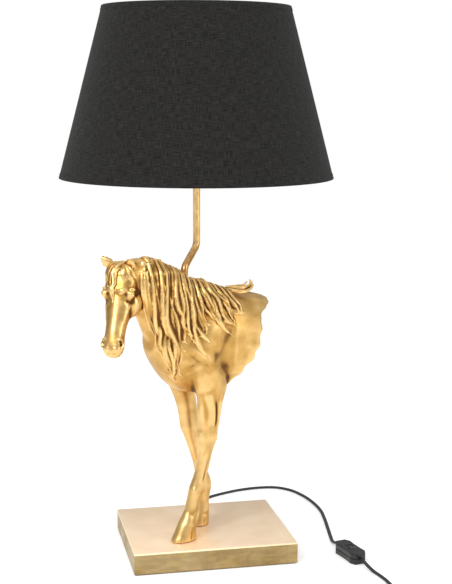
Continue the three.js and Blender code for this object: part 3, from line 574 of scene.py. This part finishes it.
# ---- Horse: the mane -----------------------------------------------------------------------------------
# Modelled hair, cast with the horse: pointed locks of three to five ridges that fall from the crest over its
# near side, shorter hair under them, a few tufts across the crest, and a forelock between the ears.
MANE_VOXEL = 0.0009
MANE_FACES = 150000
hair_draw = random.Random(7)
skin_tree = BVHTree.FromPolygons([v.co for v in horse_mesh.vertices],
                                 [p.vertices for p in horse_mesh.polygons])

# Each lock: root, middle and tip, its width, its ridges, how far it waves, and how high it stands.
LOCKS = [
    ((78, 12, 380), (76, 24, 335), (65, 24, 286), 18, 4, 2.4, 3.5),
    ((70, 8, 386), (70, 28, 325), (66, 28, 272), 16, 4, 2.7, 3.6),
    ((78, 12, 380), (64, 32, 328), (57, 32, 258), 19, 4, 3.4, 3.7),
    ((70, 8, 386), (64, 35, 312), (48, 36, 246), 19, 4, 3.8, 4.5),
    ((62, 5, 388), (59, 38, 306), (43, 38, 229), 16, 5, 3.8, 4.1),
    ((56, 4, 387), (50, 40, 307), (37, 40, 240), 19, 4, 4.5, 4.7),
    ((50, 3, 386), (52, 42, 302), (35, 42, 252), 19, 4, 4.2, 5.2),
    ((43, 3, 384), (45, 43, 314), (23, 45, 268), 16, 4, 5.1, 4.1),
    ((37, 3, 382), (44, 43, 317), (34, 45, 282), 12, 3, 4.5, 3.8),
    ((31, 3, 379), (36, 44, 325), (21, 47, 284), 15, 3, 5.1, 4.7),
    ((26, 3, 377), (31, 45, 323), (17, 48, 283), 13, 3, 4.5, 5.2),
    ((21, 3, 374), (25, 46, 321), (8, 49, 290), 10, 3, 4.8, 4.5),
    ((16, 3, 371), (16, 46, 323), (-3, 49, 254), 13, 3, 5.6, 3.9),
    ((11, 3, 368), (14, 47, 322), (-10, 50, 274), 13, 3, 5.1, 5.1),
    ((6, 3, 365), (7, 47, 322), (-4, 50, 292), 13, 3, 4.5, 4.5),
    ((1, 3, 362), (0, 47, 329), (-11, 50, 304), 11, 3, 3.8, 4.0),
    ((-4, 3, 359), (-1, 47, 334), (-20, 51, 316), 10, 3, 3.8, 3.8),
    ((-9, 3, 356), (-14, 47, 338), (-36, 52, 309), 12, 3, 4.2, 4.9),
    ((-15, 3, 354), (-21, 48, 331), (-46, 52, 283), 13, 3, 4.8, 4.3),
    ((-21, 3, 352), (-26, 48, 339), (-50, 52, 295), 14, 3, 4.2, 5.0),
    ((-29, 3, 350), (-38, 48, 338), (-59, 52, 303), 10, 3, 3.8, 4.5),
    ((-38, 3, 349), (-42, 47, 337), (-63, 52, 314), 11, 3, 3.4, 4.6),
    ((-47, 3, 347), (-54, 47, 332), (-70, 50, 324), 11, 3, 2.7, 3.1),
    ((-56, 3, 345), (-61, 47, 334), (-77, 49, 318), 11, 3, 3.0, 3.1),
]
CHEST_LOCKS = [
    ((64, 26, 318), (60, 32, 280), (52, 32, 236), 13, 4, 3.2, 5.0),
    ((56, 32, 312), (54, 36, 268), (44, 36, 216), 14, 4, 3.4, 5.6),
    ((50, 36, 306), (50, 38, 262), (38, 36, 210), 13, 4, 3.6, 5.0),
    ((44, 38, 300), (44, 41, 268), (30, 40, 226), 12, 3, 3.6, 4.4),
]
FOREHEAD_LOCKS = [
    ((0, 2, 8), (24, -6, 17), (58, -1, 15), 8, 3, 1.6, 2.6),
    ((0, 0, 8), (18, -8, 17), (44, -9, 15), 8, 3, 1.4, 2.8),
    ((0, -2, 8), (14, -12, 15), (36, -14, 13), 9, 4, 1.2, 2.8),
    ((0, -4, 7), (10, -15, 12), (29, -18, 10), 9, 4, 1.0, 2.6),
    ((-2, -6, 5), (8, -19, 6), (24, -22, 3), 8, 3, 0.8, 2.4),
    ((1, 4, 8), (10, 12, 13), (24, 18, 9), 8, 3, 1.0, 2.6),
    ((2, 6, 6), (8, 16, 9), (20, 22, 2), 7, 3, 0.8, 2.4),
    ((2, 3, 9), (12, 7, 15), (30, 9, 14), 7, 3, 1.0, 2.4),
]


def ridge(form, line, widths):
    """One tapering ridge of hair: a six-sided tube along the line."""
    outline = [(math.cos(math.radians(a)), math.sin(math.radians(a))) for a in range(0, 360, 60)]
    places = [place @ Matrix.Diagonal((width, width, 1, 1))
              for place, width in zip(frames_along(line, flat=False), widths)]
    sweep(form, outline, places)


def hair_lock(form, root, middle, tip, width, ridges, wave, stand, samples=15):
    """Ridges side by side that share one wave and meet at the tip, laid on the skin under them."""
    a, b, c = Vector(root), Vector(middle), Vector(tip)
    shares = [i / (samples - 1) for i in range(samples)]
    spine = [a * ((1 - t) * (1 - 2 * t)) + b * (4 * t * (1 - t)) + c * (t * (2 * t - 1)) for t in shares]
    skins = [skin_tree.find_nearest(p) for p in spine]
    turns = hair_draw.uniform(1.0, 1.9)
    phase = hair_draw.uniform(0, 2 * math.pi)
    pitch = width * 0.001 / ridges
    for k in range(ridges):
        own = hair_draw.uniform(-0.5, 0.5)
        crown = 1 - (2 * (k - (ridges - 1) / 2) / ridges) ** 2
        reach = 1 - 0.1 * abs(k - (ridges - 1) / 2) - hair_draw.uniform(0, 0.08)
        line, widths = [], []
        for i, (t, (ground, normal, _, _)) in enumerate(zip(shares, skins)):
            ahead = (spine[min(i + 1, samples - 1)] - spine[max(i - 1, 0)]).normalized()
            across = ahead.cross(normal).normalized()
            fan = (k - (ridges - 1) / 2 + 0.35 * own) * pitch * (1 - 0.85 * t ** 2.2) * (0.75 + 0.5 * t)
            sway = wave * 0.001 * math.sin(phase + 2 * math.pi * turns * t + 0.5 * own) * t ** 0.6
            on_skin = skin_tree.find_nearest(ground + across * (fan + sway))
            rise = 0.2 + 0.9 * math.sin(math.pi * min(1, 0.15 + t)) + 0.4 * own
            line.append(on_skin[0] + on_skin[1] * (stand * 0.001 * rise * (0.25 + 1.1 * crown)))
            fullness = (0.85 + 0.35 * math.sin(math.pi * t)) * (1 - t ** 3 * 0.8)
            widths.append((0.5 + 0.22 * crown) * pitch * fullness)
            if t > reach:
                break
        ridge(form, line, widths)


mane_form = bmesh.new()
for root, middle, tip, *size in LOCKS + CHEST_LOCKS:
    hair_lock(mane_form, horse_point(*root), horse_point(*middle), horse_point(*tip), *size)
for root, middle, tip, *size in FOREHEAD_LOCKS:
    hair_lock(mane_form, on_head(*root), on_head(*middle), on_head(*tip), *size)

# Short hair under the locks, and tufts that lie over the crest to the far side.
for (root, middle, tip, *_), (root_2, middle_2, tip_2, *_) in zip(LOCKS, LOCKS[1:]):
    between = [Vector(a).lerp(Vector(b), 0.5) for a, b in ((root, root_2), (middle, middle_2), (tip, tip_2))]
    short = between[1].lerp(between[2], hair_draw.uniform(0.25, 0.6))
    hair_lock(mane_form, horse_point(*between[0]), horse_point(*between[0].lerp(between[1], 0.6)),
              horse_point(*short), 13, 4, 2.4, 1.6)
    over = between[0] + Vector((2, -13 - hair_draw.uniform(0, 5), -12 - hair_draw.uniform(0, 8)))
    crown = between[0] + Vector((3, -5, 2))
    hair_lock(mane_form, horse_point(*between[0]), horse_point(*crown), horse_point(*over), 9, 3, 0.8, 1.6, 9)

# The ears: leaves with a hollow that faces forward, curled in towards their tips.
for root, tip in (((102, 11, 383), (99, 16, 403)), ((107, -12, 385), (122, -19, 404))):
    base, point = Vector(root), Vector(tip)
    ahead = (point - base).normalized()
    across = ahead.cross(head_facing).normalized()
    turn = Matrix((across, across.cross(ahead), ahead)).transposed()
    cup = [(math.sin(math.radians(a)), -0.62 * math.cos(math.radians(a))) for a in range(-90, 91, 20)]
    cup += [(x, 0.68 * y) for x, y in reversed(cup)]
    places = []
    for share, wide in ((0, 0.7), (0.2, 0.95), (0.45, 1), (0.7, 0.72), (0.88, 0.38), (1, 0.1)):
        middle = base.lerp(point, share) - head_facing * (1.5 * math.sin(math.pi * share))
        size = 0.0082 * wide
        places.append(Matrix.Translation(horse_point(*middle)) @ horse_frame.to_3x3().to_4x4()
                      @ turn.to_4x4() @ Matrix.Diagonal((size, size, 1, 1)))
    sweep(mane_form, cup, places)

# Two lock ends at the withers curl up and back over the torn edge.
for points, thick in (
    (((-62, 12, 347), (-78, 24, 347), (-92, 24, 348), (-99, 22, 353), (-96, 21, 357)), 0.0036),
    (((-60, 18, 346), (-74, 30, 343), (-88, 30, 344), (-97, 27, 348), (-99, 26, 351)), 0.003),
    (((-64, 8, 347), (-80, 18, 349), (-90, 18, 350), (-95, 17, 354)), 0.0028),
):
    line = smooth_line([horse_point(*p) for p in points], 0.003)
    ridge(mane_form, line, [thick * (1 - 0.7 * (i / len(line)) ** 3) for i in range(len(line))])

hair_source = bpy.data.meshes.new("hair")
mane_form.to_mesh(hair_source)
mane_form.free()
mane = leafed_piece("horse_mane", one_skin(hair_source, MANE_VOXEL, 1), MANE_FACES, 6, 30, 0.7)
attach(mane, "lamp")

# ---- Plinth --------------------------------------------------------------------------------------------
# A block of fibreboard, leafed all over: squares of pale gold leaf that overlap in faint lines, paler and
# warmer along the top edge. The top is painted light and the sides painted shade.
# A sheet of dark felt is glued under it.
LEAF_SQUARE = 0.057


def plinth_leaf():
    paint, place = new_paint("plinth_leaf")
    x, y, z = [place.node("ShaderNodeSeparateXYZ", {}, {0: place}, k) for k in range(3)]
    wander = place.noise(14, 2) * 0.006

    def seam(along):
        past_middle = place.math("FRACT", (along + wander) * (1 / LEAF_SQUARE)) - 0.5
        return place.math("ABSOLUTE", past_middle).span(0.47, 0.5)

    seams = place.math("MAXIMUM", seam(x), seam(y))
    # Painted light and shade: the top is painted pale as if lit, and the sides dark olive as if shaded.
    side = (plinth_top - z).span(0.0008, 0.0022)
    cloud = place.noise(26, 5)
    speckle = place.noise(700, 3).span(0.6, 0.78)
    lit_top = cloud.span(0.3, 0.7).tint((0.93, 0.61, 0.46), (0.99, 0.74, 0.6))
    shaded_flank = place.noise(60, 4, (1, 1, 3)).span(0.35, 0.7).tint((0.2, 0.112, 0.021), (0.31, 0.19, 0.046))
    # A paler, yellower line along the top edge.
    edge = place.math("ABSOLUTE", z - (plinth_top - 0.0012)).span(0.0006, 0.0016)
    lit_and_shaded_leaf = side.tint(lit_top, shaded_flank)
    with_pale_edge = (edge * (0.6 + 0.4 * cloud)).tint((0.93, 0.8, 0.5), lit_and_shaded_leaf)
    coat(paint, Base_Color=(seams * 0.06 + speckle * 0.2).tint(with_pale_edge, (0.45, 0.26, 0.12)),
         Metallic=0.35 + 0.55 * side,
         Roughness=0.32 + 0.16 * cloud + 0.16 * seams,
         Normal=(seams * 0.5 + place.noise(240, 4) * 0.5).bump(0.14, 0.0004))
    return paint


plinth = refined("plinth", "base_block", plinth_leaf(), 0)
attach(plinth, "lamp")
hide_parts("base_block")

felt_paint, felt_place = new_paint("felt")
fuzz = felt_place.noise(1500, 4)
coat(felt_paint, Base_Color=fuzz.tint((0.012, 0.013, 0.011), (0.04, 0.042, 0.036)), Roughness=0.95,
     Sheen_Weight=0.4, Normal=fuzz.bump(0.6, 0.0004))
felt = refined("felt_pad", "base_felt", felt_paint, 0.0003)
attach(felt, "lamp")
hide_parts("base_felt")


# ---- Pole ----------------------------------------------------------------------------------------------
# A 10 mm steel tube, brass plated and lacquered, brown towards its lower end: it rises from the crest and
# bends over to the axis of the shade.
def pole_plating():
    paint, place = new_paint("pole_gold")
    height = place.node("ShaderNodeSeparateXYZ", {}, {0: place}, 2)
    # Brown below the bend, towards the crest.
    brown = 1 - (height + place.noise(50, 3) * 0.02).span(0.43, 0.475)
    mottle = place.noise(240, 4, (1, 1, 0.35))
    base = mottle.span(0.35, 0.7).tint((0.76, 0.47, 0.17), (0.93, 0.67, 0.32))
    coat(paint, Base_Color=(brown * 0.6).tint(base, (0.36, 0.15, 0.04)), Metallic=1.0,
         Roughness=0.24 + 0.16 * mottle, Normal=mottle.bump(0.15, 0.0003))
    return paint


def round_outline(radius, sides=28):
    return [(radius * math.cos(2 * math.pi * i / sides), radius * math.sin(2 * math.pi * i / sides))
            for i in range(sides)]


def rounded_run(points, radius, bend_points=14):
    """Straight runs between the points, with each corner turned in a curve."""
    run = [points[0]]
    for before, corner, after in zip(points, points[1:], points[2:]):
        back, ahead = (before - corner).normalized(), (after - corner).normalized()
        reach = radius / math.tan(back.angle(ahead) / 2)
        enter, leave = corner + back * reach, corner + ahead * reach
        for i in range(bend_points + 1):
            t = i / bend_points
            run.append(enter.lerp(corner, t).lerp(corner.lerp(leave, t), t))
    return run + [points[-1]]


pole_low, pole_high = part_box("pole")
pole_line = rounded_run([
    Vector((-0.022, -0.027, pole_low.z)), Vector((-0.022, -0.027, 0.411)), Vector((0, 0, 0.437)),
    Vector((0, 0, pole_high.z)),
], 0.014)
pole_form = bmesh.new()
sweep(pole_form, round_outline(0.005), frames_along(pole_line, flat=False))
pole = made_piece("bent_pole", pole_form, pole_plating())
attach(pole, "lamp")
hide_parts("pole")


# ---- Lampholder and bulb -------------------------------------------------------------------------------
# A black phenolic lampholder: a cap that locks on the pole's top, a threaded skirt, and a ring that clamps
# the shade's fitter. The bulb is an opal globe.
cap_low, cap_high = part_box("holder_cap")
skirt_low, skirt_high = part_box("holder_skirt")
cap = lathe("lampholder_cap", [
    (0.0053, cap_low.z), (0.0115, cap_low.z), (0.0145, cap_low.z + 0.0015), (0.0165, cap_low.z + 0.004),
    (0.0173, cap_low.z + 0.007), (0.0175, cap_high.z - 0.001), (0.017, cap_high.z), (0.0155, cap_high.z),
    (0.0155, cap_low.z + 0.008), (0.0053, cap_low.z + 0.008),
], black_plastic, closed=True)
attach(cap, "lamp")
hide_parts("holder_cap")

fitter_z = 0.5875
thread = [(0.0195 - (0.0006 if i % 2 else 0), fitter_z + 0.0078 + 0.0011 * i) for i in range(20)]
skirt = lathe("lampholder_skirt", [
    (0.0142, skirt_low.z), (0.019, skirt_low.z), (0.0195, skirt_low.z + 0.0006), (0.0195, fitter_z - 0.003),
    (0.0225, fitter_z - 0.003), (0.0225, fitter_z - 0.0003), (0.0195, fitter_z - 0.0003),
] + thread + [(0.0192, skirt_high.z), (0.0142, skirt_high.z)], black_plastic, closed=True)
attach(skirt, "lamp")
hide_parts("holder_skirt")

# The shade ring has milled grips round its rim.
ring_low, ring_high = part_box("shade_ring")
ring_form = bmesh.new()
GRIP_POINTS = 96
grip = [1 - (0.0007 / 0.0265 if i % 4 >= 2 else 0) for i in range(GRIP_POINTS)]
outer = [ring_form.verts.new((x * share, y * share, ring_low.z))
         for share, (x, y) in zip(grip, round_outline(0.0265, GRIP_POINTS))]
inner = [ring_form.verts.new((x, y, ring_low.z)) for x, y in round_outline(0.0198, GRIP_POINTS)]
rims = [ring_form.edges.new((a, b)) for loop in (outer, inner) for a, b in zip(loop, loop[1:] + loop[:1])]
flat = bmesh.ops.bridge_loops(ring_form, edges=rims)["faces"]
raised = bmesh.ops.extrude_face_region(ring_form, geom=flat)["geom"]
bmesh.ops.translate(ring_form, vec=(0, 0, ring_high.z - ring_low.z),
                    verts=[v for v in raised if isinstance(v, bmesh.types.BMVert)])
bmesh.ops.recalc_face_normals(ring_form, faces=ring_form.faces)
shade_ring = made_piece("clamp_ring", ring_form, black_plastic)
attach(shade_ring, "lamp")
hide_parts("shade_ring")

glass_paint, glass_place = new_paint("opal_bulb")
milk = glass_place.noise(40, 3)
coat(glass_paint, Base_Color=milk.tint((0.86, 0.85, 0.81), (0.93, 0.92, 0.89)), Roughness=0.12 + 0.05 * milk,
     Coat_Weight=0.6, Subsurface_Weight=0.15)
globe_low, globe_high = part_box("bulb_globe")
globe_radius = 0.03
globe_centre = globe_high.z - globe_radius
globe = lathe("opal_globe", [
    (0, globe_low.z), (0.0134, globe_low.z), (0.0136, globe_low.z + 0.009), (0.0152, globe_low.z + 0.016),
    (0.0205, globe_low.z + 0.0255),
] + [
    (globe_radius * math.cos(math.radians(a)), globe_centre + globe_radius * math.sin(math.radians(a)))
    for a in range(-38, 90, 8)
] + [(0, globe_high.z)], glass_paint)
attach(globe, "lamp")
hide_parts("bulb_globe")


# ---- Shade ---------------------------------------------------------------------------------------------
# Black linen laminated to a white styrene lining, rolled into a cone with one lapped seam at the back, its
# hems turned over a wire ring at each end. Three arms join the lower ring to the fitter.
shade_low, shade_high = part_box("shade_fabric")
LOW_RADIUS, HIGH_RADIUS = 0.187, 0.127
SHADE_SLOPE = (LOW_RADIUS - HIGH_RADIUS) / (shade_high.z - shade_low.z)


def shade_radius(z):
    return LOW_RADIUS - (z - shade_low.z) * SHADE_SLOPE


def unroll(piece, turn_length):
    """A UV map in metres: round the shade from its back, and up it."""
    mesh = piece.data
    layer = mesh.uv_layers.new(name="unrolled")
    for face in mesh.polygons:
        middle = math.atan2(-face.center.x, -face.center.y)
        for loop in face.loop_indices:
            co = mesh.vertices[mesh.loops[loop].vertex_index].co
            angle = math.atan2(-co.x, -co.y)
            angle += 2 * math.pi * round((middle - angle) / (2 * math.pi))
            layer.data[loop].uv = (angle / (2 * math.pi) * turn_length, co.z)


def linen():
    paint, cloth = new_paint("black_linen", "UV")
    warp = cloth.noise(1, 2, (1500, 90, 1))
    weft = cloth.noise(1, 2, (90, 1500, 1))
    slubs = cloth.noise(1, 3, (60, 900, 1)).span(0.58, 0.74)
    weave = warp * 0.5 + weft * 0.5
    light = weave.span(0.36, 0.66) * 0.75 + slubs * 0.5
    coat(paint, Base_Color=light.tint((0.004, 0.0039, 0.0035), (0.035, 0.0338, 0.0318)), Roughness=0.88,
         Specular_IOR_Level=0.12, Sheen_Weight=0.05, Sheen_Roughness=0.5,
         Normal=(weave + slubs * 0.4).bump(0.7, 0.0009))
    return paint


black_linen = linen()
hem = 0.006
proud = 0.0005
rim = 0.0009
skin_profile = []
for z, out in (
    (shade_low.z, -rim), (shade_low.z - 0.0003, 0), (shade_low.z, proud), (shade_low.z + hem, proud),
    (shade_low.z + hem + 0.0005, 0),
):
    skin_profile.append((shade_radius(z) + out, z))
for i in range(1, 24):
    z = shade_low.z + hem + (shade_high.z - shade_low.z - 2 * hem) * i / 24
    skin_profile.append((shade_radius(z), z))
for z, out in (
    (shade_high.z - hem - 0.0005, 0), (shade_high.z - hem, proud), (shade_high.z, proud),
    (shade_high.z + 0.0003, 0), (shade_high.z, -rim),
):
    skin_profile.append((shade_radius(z) + out, z))
fabric = lathe("linen_cover", skin_profile + [
    (shade_radius(z) - rim, z) for z in (shade_high.z - 0.002, shade_low.z + 0.002)
], black_linen, 160, closed=True, crease=50)
unroll(fabric, 2 * math.pi * (LOW_RADIUS + HIGH_RADIUS) / 2)
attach(fabric, "shade")
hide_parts("shade_fabric")

# The lapped seam is a strip of the same cloth, 9 mm wide, up the back.
seam_form = bmesh.new()
seam_half = math.radians(1.7)
bmesh.ops.create_grid(seam_form, x_segments=4, y_segments=24, size=1)
for vert in seam_form.verts:
    z = shade_low.z + 0.002 + (vert.co.y + 1) / 2 * (shade_high.z - shade_low.z - 0.004)
    angle = math.radians(90) + vert.co.x * seam_half
    radius = shade_radius(z) + 0.0007
    vert.co = (radius * math.cos(angle), radius * math.sin(angle), z)
bmesh.ops.recalc_face_normals(seam_form, faces=seam_form.faces)
bmesh.ops.solidify(seam_form, geom=seam_form.faces[:], thickness=0.0005)
seam_strip = made_piece("linen_seam", seam_form, black_linen)
unroll(seam_strip, 2 * math.pi * (LOW_RADIUS + HIGH_RADIUS) / 2)
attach(seam_strip, "shade")

lining_paint, lining_place = new_paint("white_lining")
cloud = lining_place.noise(22, 3)
coat(lining_paint, Base_Color=cloud.tint((0.82, 0.81, 0.77), (0.88, 0.87, 0.84)),
     Roughness=0.45 + 0.1 * cloud, Normal=lining_place.noise(300, 2).bump(0.05, 0.0003))
lining_inset = 0.0011
LINING_STEPS = 12
lining_rise = (shade_high.z - shade_low.z - 0.002) / LINING_STEPS
lining_heights = [shade_low.z + 0.001 + lining_rise * i for i in range(LINING_STEPS + 1)]
lining_profile = [(shade_radius(z) - lining_inset, z) for z in lining_heights]
lining = lathe("styrene_lining", lining_profile + [(r - 0.0006, z) for r, z in reversed(lining_profile)],
               lining_paint, 160, closed=True)
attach(lining, "shade")
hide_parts("shade_lining")

wire_paint, wire_place = new_paint("white_wire")
chips = wire_place.noise(330, 4).span(0.68, 0.75)
coat(wire_paint, Base_Color=chips.tint((0.75, 0.74, 0.71), (0.3, 0.29, 0.28)), Roughness=0.42,
     Normal=wire_place.noise(700, 2).bump(0.1, 0.0002))
WIRE = 0.0032
wire_inset = lining_inset + 0.0006 + WIRE / 2 + 0.0006


def wire_ring(name, z, steps=128):
    radius = shade_radius(z) - wire_inset
    return lathe(name, [(radius + x, z + y) for x, y in round_outline(WIRE / 2, 12)], wire_paint, steps, True)


top_wire = wire_ring("top_ring_wire", shade_high.z - 0.003)
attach(top_wire, "shade")
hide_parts("shade_top_wire")

frame_form = bmesh.new()
bottom_z = shade_low.z + 0.003
reach = shade_radius(bottom_z) - wire_inset
bottom_ring = [Matrix.Rotation(math.radians(a), 4, "Z") @ Matrix.Translation((reach, 0, bottom_z))
               @ Matrix.Rotation(math.pi / 2, 4, "X") for a in range(0, 363, 3)]
sweep(frame_form, round_outline(WIRE / 2, 12), bottom_ring)
for turn in (90, 210, 330):
    spin = Matrix.Rotation(math.radians(turn), 4, "Z")
    arm = smooth_line([spin @ Vector((r, 0, z)) for r, z in (
        (reach, bottom_z), (reach * 0.8, bottom_z + 0.012), (0.06, fitter_z - 0.006),
        (0.024, fitter_z + 0.0006),
    )], 0.004)
    sweep(frame_form, round_outline(WIRE / 2 - 0.0002, 12), frames_along(arm))
plate = [(0.0198, fitter_z), (0.0255, fitter_z), (0.0255, fitter_z + 0.002), (0.0198, fitter_z + 0.002)]
rim_verts = [frame_form.verts.new((r, 0, z)) for r, z in plate]
rim_edges = [frame_form.edges.new(pair) for pair in zip(rim_verts, rim_verts[1:] + rim_verts[:1])]
bmesh.ops.spin(frame_form, geom=rim_verts + rim_edges, axis=(0, 0, 1), cent=(0, 0, 0), dvec=(0, 0, 0),
               angle=2 * math.pi, steps=64, use_merge=True)
bmesh.ops.remove_doubles(frame_form, verts=frame_form.verts, dist=1e-6)
bmesh.ops.recalc_face_normals(frame_form, faces=frame_form.faces)
shade_frame = made_piece("fitter_frame", frame_form, wire_paint)
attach(shade_frame, "shade")
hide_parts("shade_frame")


# ---- Fixings and wiring --------------------------------------------------------------------------------
# Nuts, washers, the conduit in the near leg, the stud in the far one, and the flex inside keep their own
# shapes and get their real finishes.
def metal(name, colour, roughness):
    """Plated metal with a fine drawn grain, faint stains and fingermarks."""
    paint, place = new_paint(name)
    smear = place.noise(70, 4)
    coat(paint, Base_Color=(smear.span(0.4, 0.8) * 0.35).tint(colour, tuple(0.45 * c for c in colour)),
         Metallic=1.0, Roughness=roughness + 0.12 * smear,
         Normal=place.noise(400, 3, (1, 1, 0.1)).bump(0.08, 0.0002))
    return paint


zinc = metal("steel", (0.52, 0.53, 0.54), 0.3)
brass = metal("brass", (0.68, 0.46, 0.18), 0.26)
inner_vinyl = vinyl("inner_vinyl", (0.02, 0.02, 0.021), 0.45)
ceramic = plastic("white_plastic", (0.72, 0.71, 0.68), 0.35)
for paint, names in (
    (zinc, ("conduit_washer", "conduit_nut", "stud_washer", "stud_nut", "leg_conduit", "leg_stud", "pole_nut",
            "bulb_cap", "switch_screw_1", "switch_screw_2")),
    (brass, ("pole_locknut", "centre_contact", "switch_blade_1", "switch_blade_2", "plug_pin_1",
             "plug_pin_2")),
    (ceramic, ("holder_insert",)),
    (black_plastic, ("flex_clamp", "switch_lower", "switch_rocker")),
    (inner_vinyl, ("inner_flex",)),
):
    for name in names:
        nodes[name].data.materials.clear()
        nodes[name].data.materials.append(paint)

# ---- Floor and light -----------------------------------------------------------------------------------
# A pale table top and even studio light: a white room, a large soft box from the left and a smaller one
# from the right.
bpy.context.scene.view_settings.view_transform = "Standard"
floor_form = bmesh.new()
bmesh.ops.create_grid(floor_form, x_segments=1, y_segments=1, size=8)
floor_paint, floor_place = new_paint("pale_floor")
coat(floor_paint, Base_Color=floor_place.noise(3).tint((0.94, 0.94, 0.94), (0.96, 0.96, 0.96)), Roughness=0.6,
     Emission_Color=(1, 1, 1), Emission_Strength=0.16)
floor = made_piece("floor", floor_form, floor_paint)

# The room is brightest overhead, and it is seen as plain white.
studio = bpy.data.worlds.new("studio")
studio.use_nodes = True
backdrop = studio.node_tree.nodes["Background"]
backdrop.inputs["Color"].default_value = (1, 1, 1, 1)
white = Wire(studio.node_tree, backdrop.outputs[0])
direction = white.node("ShaderNodeTexCoord", {}, {}, 0)
up = white.node("ShaderNodeSeparateXYZ", {}, {0: direction}, 2)
room = white.node("ShaderNodeBackground", {}, {
    "Color": (1, 1, 1, 1), "Strength": 0.24 + 0.72 * up.span(0.05, 0.95)})
seen = white.node("ShaderNodeLightPath", {}, {})
both = white.node("ShaderNodeMixShader", {}, {0: seen, 1: room, 2: white})
studio.node_tree.links.new(both.socket, studio.node_tree.nodes["World Output"].inputs[0])
bpy.context.scene.world = studio


def softbox(name, place, aim, size, power):
    light = bpy.data.lights.new(name, "AREA")
    light.shape = "RECTANGLE"
    light.size, light.size_y = size
    light.energy = power
    fitting = bpy.data.objects.new(name, light)
    bpy.context.scene.collection.objects.link(fitting)
    fitting.location = place
    fitting.rotation_euler = (Vector(aim) - Vector(place)).to_track_quat("-Z", "Y").to_euler()


softbox("key", (-1.3, -1.5, 1.7), (0, 0, 0.35), (0.8, 0.8), 26)
sun = bpy.data.objects.new("sky", bpy.data.lights.new("sky", "SUN"))
sun.data.energy = 0.7
sun.data.angle = math.radians(50)
sun.rotation_euler = (math.radians(24), math.radians(-20), 0)
bpy.context.scene.collection.objects.link(sun)
softbox("fill", (1.5, -1.2, 1.0), (0, 0, 0.3), (0.5, 1.2), 10)
